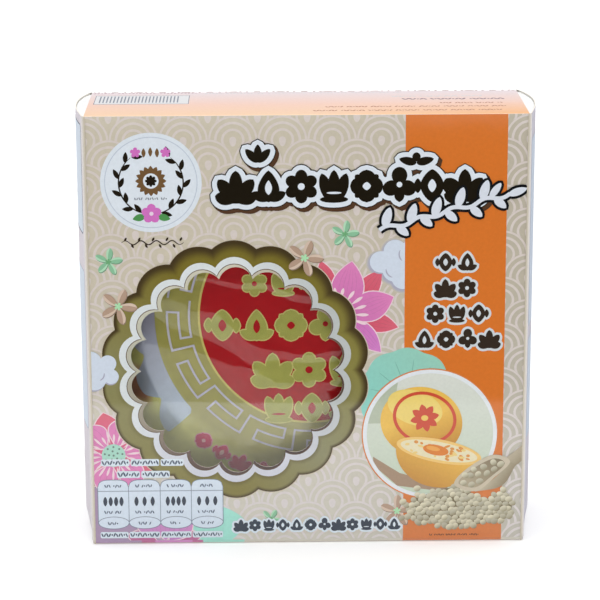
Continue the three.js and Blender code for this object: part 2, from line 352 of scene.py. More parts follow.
def make_piece(name, parts, materials, smooth=False, replaces=()):
    """One object from parts. A part is (points (n, 3) in mm, faces, material, ink): material
    is the index of one of the materials, and ink is a colour for its points, or None."""
    sizes = [len(part[0]) for part in parts]
    starts = np.concatenate([[0], np.cumsum(sizes)[:-1]])
    faces = [(f + start, part[2]) for part, start in zip(parts, starts) for f in part[1] if len(f)]
    counts = np.concatenate([np.full(len(f), f.shape[1]) for f, _ in faces])
    used, corners = np.unique(np.concatenate([f.ravel() for f, _ in faces]), return_inverse=True)
    mesh = bpy.data.meshes.new(name)
    mesh.vertices.add(len(used))
    points = np.concatenate([part[0] for part in parts])[used]
    mesh.vertices.foreach_set("co", (points * MM).ravel())
    mesh.loops.add(len(corners))
    mesh.loops.foreach_set("vertex_index", corners.astype(np.int32))
    mesh.polygons.add(len(counts))
    first = np.concatenate([[0], np.cumsum(counts)[:-1]]).astype(np.int32)
    mesh.polygons.foreach_set("loop_start", first)
    slots = np.concatenate([np.full(len(f), material) for f, material in faces])
    mesh.polygons.foreach_set("material_index", slots.astype(np.int32))
    mesh.polygons.foreach_set("use_smooth", np.full(len(counts), smooth))
    inks = [np.broadcast_to(linear((255, 255, 255) if part[3] is None else part[3]), (size, 3))
            for part, size in zip(parts, sizes)]
    colours = np.column_stack([np.concatenate(inks)[used], np.ones(len(used))])
    mesh.attributes.new("ink", "FLOAT_COLOR", "POINT").data.foreach_set("color", colours.ravel())
    mesh.update(calc_edges=True)
    mesh.validate()
    for material in materials:
        mesh.materials.append(material)
    piece = bpy.data.objects.new(name, mesh)
    bpy.context.scene.collection.objects.link(piece)
    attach(piece, "root")
    if replaces:
        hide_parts(*replaces)
    return piece


def shell(outer, inner, closed=False):
    """A wall between two grids (rows, columns, 3): outer faces, inner faces and rims, as
    three parts of one closed solid. closed joins the ends of each row."""
    rows, columns = outer.shape[:2]
    points = np.concatenate([outer.reshape(-1, 3), inner.reshape(-1, 3)])
    face = quads(rows, columns, closed)
    back = face[:, ::-1] + rows * columns
    index = np.arange(rows * columns).reshape(rows, columns)
    edges = [(index[0], False), (index[-1], True)]
    if not closed:
        edges += [(index[:, 0], True), (index[:, -1], False)]
    rims = []
    for edge, flip in edges:
        edge = np.append(edge, edge[0]) if closed else edge
        a, b = edge[:-1], edge[1:]
        rim = np.stack([b, a, a + rows * columns, b + rows * columns], axis=-1)
        rims.append(rim[:, ::-1] if flip else rim)
    return points, face, back, np.concatenate(rims)


# ---- materials --------------------------------------------------------------------------


class Shader:
    """A material's node tree, with short ways to add and join nodes."""

    def __init__(self, name):
        self.material = bpy.data.materials.new(name)
        self.material.use_nodes = True
        self.tree = self.material.node_tree
        self.tree.nodes.clear()
        self.out = self.tree.nodes.new("ShaderNodeOutputMaterial")

    def add(self, kind, values=None, **settings):
        node = self.tree.nodes.new("ShaderNode" + kind)
        for key, value in settings.items():
            setattr(node, key, value)
        for key, value in (values or {}).items():
            if isinstance(value, bpy.types.NodeSocket):
                self.tree.links.new(value, node.inputs[key])
            else:
                node.inputs[key].default_value = value
        return node

    def place(self):
        return self.add("TexCoord").outputs["Object"]

    def noise(self, size, detail=2.0, roughness=0.5):
        """Noise whose blots are about size millimetres across."""
        values = {"Vector": self.place(), "Scale": 1 / (size * MM), "Detail": detail,
                  "Roughness": roughness}
        return self.add("TexNoise", values).outputs["Fac"]

    def ranged(self, value, low, high, start=0.3, stop=0.7):
        values = {"Value": value, "From Min": start, "From Max": stop, "To Min": low,
                  "To Max": high}
        return self.add("MapRange", values).outputs["Result"]

    def ink(self):
        return self.add("Attribute", attribute_name="ink").outputs["Color"]

    def times(self, colour, factor):
        """A colour, one value or a socket, made lighter and darker by a factor."""
        mix = self.add("Mix", data_type="RGBA", blend_type="MULTIPLY")
        first, second = (s for s in mix.inputs if s.type == "RGBA")
        mix.inputs[0].default_value = 1.0
        if isinstance(colour, bpy.types.NodeSocket):
            self.tree.links.new(colour, first)
        else:
            first.default_value = colour
        self.tree.links.new(factor, second)
        return next(s for s in mix.outputs if s.type == "RGBA")

    def bump(self, height, strength, distance):
        values = {"Height": height, "Strength": strength, "Distance": distance * MM}
        return self.add("Bump", values).outputs["Normal"]

    def finish(self, surface):
        self.tree.links.new(surface, self.out.inputs["Surface"])
        return self.material


def rgba(colour):
    return (*linear(colour), 1.0)


def coated_board(name, colour=None, coat=1.0, gloss=0.1):
    """Paperboard under a thin gloss laminate. The colour is the piece's own ink attribute,
    or one colour, with a faint mottle; the laminate has the board's fine unevenness."""
    s = Shader(name)
    base = s.ink() if colour is None else rgba(colour)
    mottle = s.ranged(s.noise(1.1, detail=4.0), 0.965, 1.02)
    fibres = s.bump(s.noise(0.35, detail=3.0), 0.12, 0.02)
    sheet = s.bump(s.noise(9.0, detail=1.0), 0.05, 0.2)
    surface = s.add("BsdfPrincipled", {
        "Base Color": s.times(base, mottle),
        "Roughness": s.ranged(s.noise(2.5), 0.42, 0.55),
        "Normal": fibres,
        "Specular IOR Level": gloss,
        "Coat Weight": coat,
        "Coat Roughness": 0.06,
        "Coat IOR": 1.5,
        "Coat Normal": sheet,
    })
    return s.finish(surface.outputs[0])


def raw_board(name, colour, layered=False):
    """Uncoated board: matt, with fibres, and fine layers where it shows a cut edge."""
    s = Shader(name)
    grain = s.noise(0.12 if layered else 0.6, detail=5.0, roughness=0.7)
    surface = s.add("BsdfPrincipled", {
        "Base Color": s.times(rgba(colour), s.ranged(grain, 0.9, 1.03)),
        "Roughness": s.ranged(s.noise(1.5), 0.75, 0.9),
        "Normal": s.bump(grain, 0.35, 0.04),
        "Specular IOR Level": 0.2,
    })
    return s.finish(surface.outputs[0])


def clear_film(name):
    """Thin clear film: it lets everything through but what its two faces mirror, each of them
    the share 0.04 + 0.9 (1 - cos a)^5 at the angle a, from either side."""
    s = Shader(name)
    waves = s.bump(s.noise(26.0, detail=0.0), 0.06, 1.0)
    mirror = s.add("BsdfAnisotropic", {"Color": (1, 1, 1, 1), "Roughness": 0.03, "Normal": waves})
    clear = s.add("BsdfTransparent", {"Color": (0.985, 0.99, 0.99, 1)})
    slant = s.add("LayerWeight", {"Blend": 0.5, "Normal": waves}).outputs["Facing"]
    power = s.add("Math", {0: slant, 1: 5.0}, operation="POWER").outputs[0]
    share = s.add("Math", {0: power, 1: 0.9, 2: 0.04}, operation="MULTIPLY_ADD").outputs[0]
    mix = s.add("MixShader", {"Fac": share})
    s.tree.links.new(clear.outputs[0], mix.inputs[1])
    s.tree.links.new(mirror.outputs[0], mix.inputs[2])
    return s.finish(mix.outputs[0])


def pouch_film(name):
    """Glossy printed pouch film: the ink attribute under a clear layer, with fine creases."""
    s = Shader(name)
    mottle = s.ranged(s.noise(3.0, detail=3.0), 0.93, 1.04)
    creases = s.bump(s.noise(7.0, detail=2.0), 0.12, 1.0)
    surface = s.add("BsdfPrincipled", {
        "Base Color": s.times(s.ink(), mottle),
        "Roughness": s.ranged(s.noise(4.0), 0.3, 0.42),
        "Normal": creases,
        "Specular IOR Level": 0.2,
        "Coat Weight": 1.0,
        "Coat Roughness": 0.04,
        "Coat IOR": 1.6,
        "Coat Normal": creases,
    })
    return s.finish(surface.outputs[0])


def studio_floor(name):
    """White floor with a faint glow, as a light table has."""
    s = Shader(name)
    surface = s.add("BsdfPrincipled", {
        "Base Color": (0.86, 0.86, 0.86, 1), "Roughness": 1.0, "Specular IOR Level": 0.0,
        "Emission Color": (1, 1, 1, 1), "Emission Strength": 0.2})
    return s.finish(surface.outputs[0])


PRINT = coated_board("printed_board")
SIDE_PRINT = coated_board("printed_side_board", coat=0.0, gloss=0.0)
LID_PRINT = coated_board("printed_lid_board", coat=0.5)
WHITE_BOARD = coated_board("white_board", (250, 250, 250), coat=0.3)
CUT_BOARD = raw_board("cut_board_edge", (246, 240, 229), layered=True)
BARE_BOARD = raw_board("inner_board", (236, 233, 226)), CUT_BOARD
POUCH = pouch_film("printed_film")

# ---- inks (screen values of the print on white board) -------------------------------------

TAN = (219, 209, 188)
TAN_LOW = (224, 219, 206)
WAVE = (231, 220, 213)
WAVE_LOW = (235, 228, 226)
ORANGE = (229, 124, 48)
WHITE = (234, 240, 241)
COOL_WHITE = (234, 245, 254)
PEACH = (254, 213, 173)
APRICOT = (253, 187, 124)
ROSE = (252, 211, 193)
LILAC_ROSE = (240, 226, 230)
FOLD_TINT = (234, 226, 217)
SIDE_ROSE = (236, 230, 236)
SIDE_BLUE = (232, 241, 252)
GOLD = (146, 136, 50)
GOLD_PALE = (152, 150, 112)
GOLD_DEEP = (130, 117, 42)
SHADE = (72, 57, 30)
INK_BLACK = (34, 24, 8)
# Thin line at the window's cut edge: painted shadow of that edge.
EDGE_SHADOW_BROWN = (96, 70, 46)
MAUVE = (186, 160, 192)
SLATE = (52, 64, 80)
MINT = (163, 220, 200)
MINT_DEEP = (126, 192, 172)
PINK = (240, 142, 200)
CORAL = (236, 112, 132)
BLUSH = (255, 226, 234)
CLOUD = (226, 236, 250)
CLOUD_SHADE = (186, 186, 206)
MINT_FLOWER = (196, 238, 204), (150, 206, 166), (120, 186, 130)
BEIGE_FLOWER = (232, 210, 190), (194, 164, 142), (186, 240, 190)
GOLDEN = (252, 204, 92)
BEAN = (236, 230, 204)
BEAN_SHADE = (142, 132, 100)

# ---- the carton's board ---------------------------------------------------------------------


def bow(y, z):
    """How far a side wall stands out: a skewed parabola over the depth, nought at the foot."""
    across = np.clip(y / DEPTH + 0.5, 0, 1) ** BOW_SKEW
    rise = np.clip(z / BOW_FADE_HEIGHT, 0, 1)
    return SIDE_BOW * 4 * across * (1 - across) * rise**2 * (3 - 2 * rise)


def wall_line(inset, side_steps=24, corner_steps=6):
    """Plan of the folds, side walls and back wall, from the front right fold round to the
    front left one: straight runs and quarter circles, set in by inset."""
    x, y, r = WIDTH / 2 - inset, DEPTH / 2 - inset, FOLD_RADIUS - inset
    t = np.linspace(0, np.pi / 2, corner_steps)
    arc = r * np.column_stack([np.sin(t), -np.cos(t)])
    side = np.column_stack([np.full(side_steps, x), np.linspace(-y + r, y - r, side_steps)])
    back_arc = arc[::-1] * [1, -1]
    right = np.vstack([arc + [x - r, -y + r], side[1:-1], back_arc + [x - r, y - r]])
    left = right[::-1] * [-1, 1]
    return np.vstack([right, left])


def wall_grid(inset, count=40):
    """The wall plan at even levels, its side walls pushed out by the bow. The back wall ends
    lower than the side walls, where the lid folds over it."""
    plan = wall_line(inset)
    x, y = plan.T
    top = np.where((y > DEPTH / 2 - 1) & (np.abs(x) < WIDTH / 2 - FOLD_RADIUS + 0.01),
                   LID_TOP - FOLD_RADIUS, WALL_TOP)
    z = TUCK_GAP + np.linspace(0, 1, count)[:, None] * (top - TUCK_GAP)
    return np.stack([x + np.sign(x) * bow(y, z), np.broadcast_to(y, z.shape), z], axis=-1)


def board_parts(points, face, back, rims, ink):
    """A board's printed face, its grey back and its cut edges, as parts for make_piece."""
    return [(points, [face], 0, ink), (points, [back], 1, None), (points, [rims], 2, None)]


def wrap_walls():
    """Side and back walls with the four upright folds: one shell, open towards the front."""
    points, face, back, rims = shell(wall_grid(INK_ROOM), wall_grid(INK_ROOM + BOARD))
    from_front, from_back = points[:, 1] + DEPTH / 2, DEPTH / 2 - points[:, 1]
    ink = between(TAN, FOLD_TINT, (from_front - 0.26) / 0.3)
    ink = between(ink, SIDE_ROSE, (from_front - 0.8) / 0.8)
    ink = between(TAN, ink, (from_back - 0.5) / 0.8)
    # The right side wall is made darker and bluer: painted shade, where less light falls on that
    # side.
    ink = ink * np.where(points[:, :1] > WIDTH / 2 - 0.6, [[0.91, 0.92, 0.94]], 1.0)
    return board_parts(points, face, back, rims, ink)


def smooth_step(t):
    t = np.clip(t, 0, 1)
    return t * t * (3 - 2 * t)


def front_wall():
    """The front wall as a ring from the scalloped cut edge out to its rectangle: in each
    direction the share s of the way from the cut edge to where the ray leaves the wall."""
    hole = lobed(CUT_EDGE)
    reach_x = WIDTH / 2 - FOLD_RADIUS
    low, high = np.array([-reach_x, FOLD_RADIUS]), np.array([reach_x, WALL_TOP])
    corners = low + (high - low) * [[0, 0], [1, 0], [1, 1], [0, 1]]
    angle = np.arctan2(*(hole - WINDOW).T[::-1])
    corner_angle = np.arctan2(*(corners - WINDOW).T[::-1])
    for a in corner_angle:
        angle[np.argmin(np.abs(np.angle(np.exp(1j * (angle - a)))))] = a
    ray = np.column_stack([np.cos(angle), np.sin(angle)])
    to_x = np.where(ray[:, 0] > 0, high[0] - WINDOW[0], WINDOW[0] - low[0])
    to_z = np.where(ray[:, 1] > 0, high[1] - WINDOW[1], WINDOW[1] - low[1])
    to_x, to_z = (d / np.maximum(np.abs(r), 1e-6) for d, r in zip((to_x, to_z), ray.T))
    edge = WINDOW + ray * np.minimum(to_x, to_z)[:, None]
    share = np.linspace(0, 1, 7)[:, None, None]
    flat = (1 - share) * hole + share * edge
    y = BOX_LOW[1] + INK_ROOM
    outer = np.stack([flat[..., 0], np.full(flat.shape[:2], y), flat[..., 1]], axis=-1)
    points, face, back, rims = shell(outer[::-1], outer[::-1] + [0, BOARD, 0], closed=True)
    ink = between(TAN_LOW, TAN, (points[:, 2] - 10) / 90)
    # Darker towards the right: painted shade, for light that falls off across the front.
    ink = ink * (1 - 0.07 * np.clip(points[:, :1] / 75, 0, 1))
    return board_parts(points, face, back, rims, ink)


def even_steps(line, longest=5.0):
    """The same line with points added, so that no step is longer than a length."""
    parts = []
    for a, b in zip(line, line[1:]):
        count = max(math.ceil(np.linalg.norm(b - a) / longest), 1)
        parts.append(a + np.linspace(0, 1, count, endpoint=False)[:, None] * (b - a))
    return np.vstack(parts + [line[-1:]])


def folded_line(corners, radius, inset, steps=6):
    """Section of a folded panel: straight runs between right-angled bends, whose arcs share
    the centre of the outer arc; inset moves the line in from the outer face."""
    p = np.asarray(corners, float)
    run = np.diff(p, axis=0)
    run /= np.linalg.norm(run, axis=1, keepdims=True)
    t = np.linspace(0, np.pi / 2, steps)[:, None]
    line = [p[0] + inset * run[1]]
    for corner, before, after in zip(p[1:-1], run, run[1:]):
        centre = corner + radius * (after - before)
        line.extend(centre + (radius - inset) * (np.sin(t) * before - np.cos(t) * after))
    line.append(p[-1] - inset * run[-2])
    return np.array(line)


def folded_panel(corners, columns=24):
    """A folded panel across the carton: its section at even places from left to right."""
    edge = WIDTH / 2 - PANEL_SIDE_GAP
    x = np.linspace(-edge, edge, columns)
    grids = []
    outer, inner = (folded_line(corners, FOLD_RADIUS, inset) for inset in (0.0, BOARD))
    pairs = even_steps(np.hstack([outer, inner]))
    for line in (pairs[:, :2], pairs[:, 2:]):
        grid = np.empty((len(line), columns, 3))
        grid[..., 0] = x
        grid[..., 1:] = line[:, None]
        grids.append(grid)
    return shell(*grids)


def lid():
    back, top = DEPTH / 2 - INK_ROOM, LID_TOP
    tuck = -DEPTH / 2 + INK_ROOM + BOARD + TUCK_GAP
    corners = [(back, top - FOLD_RADIUS), (back, top), (tuck, top), (tuck, top - LID_TUCK_DEPTH)]
    points, face, inner, rims = folded_panel(corners)
    share = points[:, 1] / DEPTH + 0.5
    ink = between(PEACH, APRICOT, (points[:, 0] - 5) / 60)
    ink = between(between(ink, ROSE, share / 0.5), LILAC_ROSE, (share - 0.45) / 0.5)
    return board_parts(points, face, inner, rims, ink)


def foot():
    front = -DEPTH / 2 + INK_ROOM
    tuck = DEPTH / 2 - INK_ROOM - BOARD - TUCK_GAP
    base = FOOT_BASE
    corners = [(front, base + FOLD_RADIUS), (front, base), (tuck, base), (tuck, FOOT_TUCK_DEPTH)]
    points, face, inner, rims = folded_panel(corners)
    ink = between(TAN_LOW, PEACH, (points[:, 1] + DEPTH / 2 - 1.2) / 0.5)
    return board_parts(points, face, inner, rims, ink)


def dust_flap(side, height):
    """A flap turned in from a side wall: rows from its free edge to the bowed hinge."""
    y = DEPTH / 2 - FOLD_RADIUS - 0.5
    row = np.linspace(-1, 1, 25)
    free_y = row * (y - DUST_FLAP_TAPER)
    hinge_y = row * y
    slit = FLAP_SLIT * smooth_step(1.2 - hinge_y / DEPTH - 0.5)
    hinge_x = WIDTH / 2 - INK_ROOM - BOARD + bow(hinge_y, np.full(25, height)) - slit
    t = np.linspace(0, 1, 8)[:, None]
    x = side * ((1 - t) * (WIDTH / 2 - DUST_FLAP_REACH) + t * hinge_x)
    upper = np.stack([x, (1 - t) * free_y + t * hinge_y, np.full(x.shape, height)], axis=-1)
    upper = upper if side < 0 else upper[:, ::-1]
    points, face, back, rims = shell(upper[::-1], upper[::-1] - [0, 0, BOARD])
    return [(points, [face, back], 0, None), (points, [rims], 1, None)]


def build_carton():
    make_piece("wall_wrap", wrap_walls(), [SIDE_PRINT, *BARE_BOARD])
    make_piece("front_wall", front_wall(), [PRINT, *BARE_BOARD],
               replaces=["carton"])
    make_piece("lid", lid(), [LID_PRINT, *BARE_BOARD])
    make_piece("foot_panel", foot(), [PRINT, *BARE_BOARD])
    for place, height in (("top", HEIGHT - BOARD - TUCK_GAP), ("foot", 2 * BOARD + TUCK_GAP)):
        for hand, side in (("left", -1), ("right", 1)):
            make_piece(f"dust_flap_{place}_{hand}", dust_flap(side, height),
                       [WHITE_BOARD, CUT_BOARD])


# ---- printing -----------------------------------------------------------------------------


def on_front(points, level):
    """Points (x, z) of the front wall, lifted by a number of ink steps. Past the flat part
    they follow the upright folds, and below it the fold to the foot: each angle is the
    excess over the fold's radius."""
    lift, flat = level * INK_STEP, WIDTH / 2 - FOLD_RADIUS
    dip = np.maximum(FOOT_BEND - points[:, 1], 0) / FOLD_RADIUS
    excess = np.where(dip > 0, 0, np.maximum(np.abs(points[:, 0]) - flat, 0))
    r = FOLD_RADIUS - INK_ROOM + lift
    turn = excess / (FOLD_RADIUS - INK_ROOM)
    x = np.sign(points[:, 0]) * (np.minimum(np.abs(points[:, 0]), flat) + r * np.sin(turn))
    bend = FOLD_RADIUS + lift
    y = FOLD_RADIUS - DEPTH / 2 - r * np.cos(turn) + bend * (1 - np.cos(dip))
    z = np.where(dip > 0, FOOT_BEND - bend * np.sin(dip), points[:, 1])
    return np.column_stack([x, y, z])


def on_back(points, level):
    """Points (x, z) of the back wall as its reader sees it, so that x runs leftwards."""
    y = np.full(len(points), DEPTH / 2 - INK_ROOM + level * INK_STEP)
    return np.column_stack([-points[:, 0], y, points[:, 1]])


def on_lid(points, level):
    """Points (x, y) of the lid's top."""
    z = np.full(len(points), LID_TOP + level * INK_STEP / 2)
    return np.column_stack([points, z])


def on_foot(points, level):
    """Points (x, y) of the foot's underside as seen from below, y running to the front."""
    z = np.full(len(points), FOOT_BASE - level * INK_STEP / 2)
    return np.column_stack([points[:, 0], -points[:, 1], z])


def on_side(hand):
    """Rule for points (u, z) of a side wall as its reader sees it, u running rightwards: the
    left wall (hand -1) is read from back to front and the right one from front to back."""
    def place(points, level):
        y = hand * points[:, 0]
        x = WIDTH / 2 - INK_ROOM + bow(y, points[:, 1]) + level * INK_STEP
        return np.column_stack([hand * x, y, points[:, 1]])
    return place


def printed(name, place, layers, material=None, smooth=False):
    """One printed piece from layers (level, ink, patches). The ink is one colour, a function
    of a patch's points, or a list with the colours of each patch. Patches of one layer stand
    a hair apart, so none shares its plane with a neighbour it overlaps."""
    parts = []
    for level, ink, patches in layers:
        for i, (points, faces) in enumerate(patches):
            colour = ink[i] if isinstance(ink, list) else ink(points) if callable(ink) else ink
            lift = PATCH_STEP * (i % PATCH_LIFTS)
            parts.append((place(points, level + lift), faces, 0, colour))
    return make_piece(name, parts, [material or PRINT], smooth)


def between(a, b, share):
    """Inks mixed point by point: a at share 0, b at share 1."""
    share = np.clip(share, 0, 1)[:, None]
    return np.array(a) * (1 - share) + np.array(b) * share


def fading(a, b, first, last):
    """Ink that goes from a at the point first to b at the point last."""
    first, last = np.array(first, float), np.array(last, float)
    run = last - first
    return lambda points: between(a, b, (points - first) @ run / (run @ run))


def soft_edge(level, outline, centre, width, colour, ground, steps=4):
    """A shadow's soft rim: colour at the outline, fading to the ground's ink, as rings moved
    away from a centre."""
    away = outline - centre
    outer = outline + width * away / np.linalg.norm(away, axis=1, keepdims=True)
    share = np.repeat(np.linspace(0, 1, steps + 1), len(outline))
    patch = strip(outline, outer, steps, closed=True)
    return (level, [between(colour, ground, share)], [patch])


def trimmed(layers, high=FRONT_HIGH, hole=None):
    """The same layers with every patch cut to the wall and out of the window's disc."""
    cut = []
    for level, ink, patches in layers:
        inks = ink if isinstance(ink, list) else [ink] * len(patches)
        done = [trim(p, FRONT_LOW, high, hole) for p in patches]
        kept = [i for i, (_, faces) in enumerate(done) if sum(len(f) for f in faces)]
        cut.append((level, [inks[i](done[i][0]) if callable(inks[i]) else inks[i] for i in kept],
                    [done[i] for i in kept]))
    return cut


# Grounds

def wave_lines(hole=None):
    """The fan pattern's pale bands. In a fan of radius R, a band at radius r shows down to
    the angle where it meets the next row's fan: -atan(s / R) + acos(c / A), with the rows
    s apart, A^2 = R^2 + s^2 and c = (r^2 + s^2) / 2r."""
    apart = math.hypot(FAN_RADIUS, FAN_ROW)
    shapes = []
    for inner, outer in ((0.375, 0.475), (0.65, 0.755), (0.91, 0.995)):
        edges = []
        for r in (inner * FAN_RADIUS, outer * FAN_RADIUS):
            c = (r * r + FAN_ROW**2) / (2 * r)
            first = -math.atan2(FAN_ROW, FAN_RADIUS) + math.acos(min(c / apart, 1))
            a = np.linspace(first, np.pi - first, 25)
            edges.append(r * np.column_stack([np.cos(a), np.sin(a)]))
        shapes.append(strip(*edges))
    eye = ellipse(2.5, 2.5, count=20)
    eye[:, 1] *= np.where(eye[:, 1] < 0, 1.9, 1)
    shapes.append(fan(eye))
    rows = np.arange(-1, math.ceil((FRONT_HIGH[1] - FRONT_LOW[1]) / FAN_ROW) + 2)
    columns = np.arange(-6, 7)
    row, column = (g.ravel() for g in np.meshgrid(rows, columns))
    x = FAN_ORIGIN[0] + 2 * FAN_RADIUS * (column + 0.5 * (row % 2))
    z = FAN_ORIGIN[1] + FAN_ROW * (1 - row)
    offsets = np.column_stack([x, z])
    return [trim(copies(shape, offsets), FRONT_LOW, FRONT_HIGH, hole) for shape in shapes]


# Flowers, leaves and clouds

def leaf_between(base, tip, width, belly=1.0, point=0.85, count=14):
    """A petal outline from its base to its tip."""
    run = np.subtract(tip, base)
    return petal(math.hypot(*run), width, belly, point, base,
                 math.degrees(math.atan2(run[1], run[0])), count)


def bordered_petals(level, petals, inner, outer, border=BLUSH, rim=0.4, veins=0):
    """Petals (base, tip, width) in two layers: a pale border, and inside it ink that goes
    from inner at the base to outer at the tip, with fine veins."""
    outlines = [leaf_between(*p, belly=1.12) for p in petals]
    fills = fans([grown(o, -rim) for o in outlines], 4)
    inks = [fading(inner, outer, base, tip)(points)
            for (base, tip, _), (points, _) in zip(petals, fills)]
    t = np.linspace(0.12, 0.86, 12)[:, None]
    lines = []
    for base, tip, width in petals:
        run = np.subtract(tip, base)
        across = np.array([-run[1], run[0]]) / math.hypot(*run)
        for k in range(veins):
            side = (k - (veins - 1) / 2) / veins * width * 0.62
            path = base + t * run + side * np.sin(np.pi * t**1.12) * across
            lines.append(ribbon(path, 0.16, 0.8))
    return [(level, border, fans(outlines, 3)), (level + 1, inks, fills),
            (level + 1.5, tuple(0.9 * np.array(outer)), lines)]


def folded_flower(level, centre, radius, tilt, inks):
    """Five pointed folded petals, one half of each lit and the other in shade, and a star
    heart; half width w t^0.95 (1 - t)^0.62 with its fold bent a little to one side."""
    light, dark, heart = inks
    t = np.linspace(0, 1, 13)
    half = 0.62 * radius * t**0.95 * (1 - t) ** 0.62
    axis = np.column_stack([radius * t, 0.07 * radius * np.sin(np.pi * t)])
    lower, upper = (np.column_stack([radius * t, side * half]) for side in (-1, 1))
    outline = np.vstack([lower, upper[::-1][1:-1]])
    angles = tilt + 72 * np.arange(5)
    lit, shaded = ([strip(turned(axis, a, centre), turned(edge, a, centre), 2) for a in angles]
                   for edge in (upper, lower))
    below = fans(turned(outline, a, np.add(centre, [0.2, -0.35])) for a in angles)
    star = rosette(5, 0.22 * radius, 0.6, 0.6, centre, tilt, 30)
    warm = between(light, dark, np.array([-0.04, 0.1]))
    shine = fading(warm[1], warm[0], centre, np.add(centre, [radius, 0]))
    return [(level - 1, tuple(0.82 * np.array(dark)), below), (level, shine, lit),
            (level, dark, shaded), (level + 0.6, heart, [fan(star)])]


def flowers(places):
    """Folded flowers from (level, x, z, radius, tilt, inks)."""
    return [layer for level, x, z, radius, tilt, inks in places
            for layer in folded_flower(level, (x, z), radius, tilt, inks)]


def cloud(level, circles, centre, folds):
    """A paper cloud: a union of discs, a soft shadow under it and short folds on it."""
    outline = lumps(circles, centre, 120)
    shadow = outline + [-0.25, -0.5]
    marks = [ribbon(around(r, np.linspace(a - 40, a + 40, 10), (x, z)), 0.5, 0.9)
             for x, z, r, a in folds]
    return [soft_edge(level, shadow, centre, 1.3, CLOUD_SHADE, TAN),
            (level + 1, CLOUD_SHADE, [fan(shadow, np.add(centre, [-0.25, -0.5]), 3)]),
            (level + 2, CLOUD, [fan(outline, centre, 4)]), (level + 2.6, CLOUD_SHADE, marks)]


def ray_petals(centre, inner, outer, angles, width):
    """Slim petals standing on a ring round a centre, at the given angles."""
    return [leaf_between(around(inner, a, centre), around(reach, a, centre), width, 1.4, 0.7, 9)
            for a, reach in zip(angles, outer)]


# Ornaments, two units s tall: each returns dark outlines and the pale hearts that lie on them.

def palmette(c, s):
    """Five leaves from one point and a low foot."""
    lean, reach = (90, 52, 128, 16, 164), (1.9, 1.72, 1.72, 1.3, 1.3)
    leaves = [petal(r * s, 0.8 * s, 1.25, 0.6, (c[0], c[1] - 0.9 * s), a, 16)
              for a, r in zip(lean, reach)]
    return leaves + [ellipse(1.5 * s, 0.4 * s, (c[0], c[1] - 0.82 * s), count=20)], []


def sheaf(c, s):
    """Three upright leaves tied above a low foot."""
    leaves = [petal(r * s, 0.74 * s, 1.0, 0.6, (c[0] + k * 0.2 * s, c[1] - 0.98 * s),
                    90 - 17 * k, 16) for k, r in ((0, 1.98), (-1, 1.85), (1, 1.85))]
    foot = ellipse(1.7 * s, 0.42 * s, (c[0], c[1] - 0.8 * s), count=20)
    return leaves + [foot], [ellipse(0.9 * s, 0.14 * s, (c[0], c[1] - 0.4 * s), count=14)]


def bud(c, s):
    """An upright bud with a long heart, between two low leaves."""
    drop = petal(1.95 * s, 1.3 * s, 0.72, 0.75, (c[0], c[1] - 0.95 * s), 90, 18)
    leaves = [petal(1.15 * s, 0.6 * s, 1.0, 0.7, (c[0], c[1] - 0.85 * s), a, 12) for a in (26, 154)]
    heart = petal(0.9 * s, 0.42 * s, 0.9, 0.8, (c[0], c[1] - 0.5 * s), 90, 12)
    return [drop] + leaves, [heart]


def quatrefoil(c, s):
    """Four broad leaves in a cross, and four small ones between them."""
    leaves = [leaf_between(c, around(reach * s, a, c), width * s, 1.4, 0.58, 15)
              for reach, width, first in ((1.0, 0.98, 0), (0.98, 0.46, 45))
              for a in np.arange(4) * 90 + first]
    return leaves, [lozenge(0.5 * s, 0.5 * s, 1.5, c, count=16)]


def blossom(c, s):
    """Six round petals and a round heart."""
    petals = [ellipse(0.86 * s, 0.74 * s, around(0.6 * s, a, c), a, 18)
              for a in np.arange(6) * 60 + 30]
    return (petals + [ellipse(0.9 * s, 0.9 * s, c, count=20)],
            [ellipse(0.42 * s, 0.42 * s, c, count=16)])


def lozenges(c, s):
    """A tall lozenge with a pale heart, flanked by two small ones."""
    small = [lozenge(0.5 * s, 0.9 * s, 1.5, (c[0] + k * 0.86 * s, c[1]), count=16)
             for k in (-1, 1)]
    return ([lozenge(1.45 * s, 2 * s, 1.5, c, count=28)] + small,
            [lozenge(0.5 * s, 0.8 * s, 1.5, c, count=16)])


def trefoil(c, s):
    """Three round leaves over a short stalk."""
    leaves = [ellipse(1.04 * s, 0.94 * s, around(0.54 * s, a, (c[0], c[1] + 0.1 * s)), a, 20)
              for a in (90, 205, 335)]
    stalk = petal(1.15 * s, 0.6 * s, 1.6, 0.7, (c[0], c[1] + 0.15 * s), -90, 12)
    return leaves + [stalk], [ellipse(0.34 * s, 0.34 * s, (c[0], c[1] + 0.08 * s), count=14)]


MOTIFS = [palmette, blossom, sheaf, lozenges, bud, quatrefoil, trefoil]


def motifs(places):
    """Dark outlines and pale hearts of the ornaments (motif, x, z, size) at their places."""
    made = [motif((x, z), size) for motif, x, z, size in places]
    return [o for dark, _ in made for o in dark], [o for _, pale in made for o in pale]


def next_motifs(first, count):
    """So many ornaments in turn from a place in their list."""
    return [MOTIFS[(first + k) % len(MOTIFS)] for k in range(count)]


def motif_row(level, start, end, count, size, ink, halo, halo_width, first=0):
    """Small ornaments at even places along a line, each over its own grown halo."""
    t = (np.arange(count) + 0.5) / count
    centres = np.add(start, t[:, None] * np.subtract(end, start))
    dark, pale = motifs([(motif, *c, size) for motif, c in zip(next_motifs(first, count), centres)])
    return [(level, halo, fans(grown(o, halo_width) for o in dark)),
            (level + 1, ink, fans(dark)), (level + 2, halo, fans(pale))]


def bars(x, z, width, height):
    """Upright rectangles round their middles, as one patch."""
    x, z, width, height = (v.astype(float) for v in np.broadcast_arrays(x, z, width, height))
    corners = np.array([[-1, -1], [1, -1], [1, 1], [-1, 1]]) / 2
    points = np.stack([x[:, None] + corners[:, 0] * width[:, None],
                       z[:, None] + corners[:, 1] * height[:, None]], axis=-1)
    return points.reshape(-1, 2), [np.arange(4 * len(x)).reshape(-1, 4)]


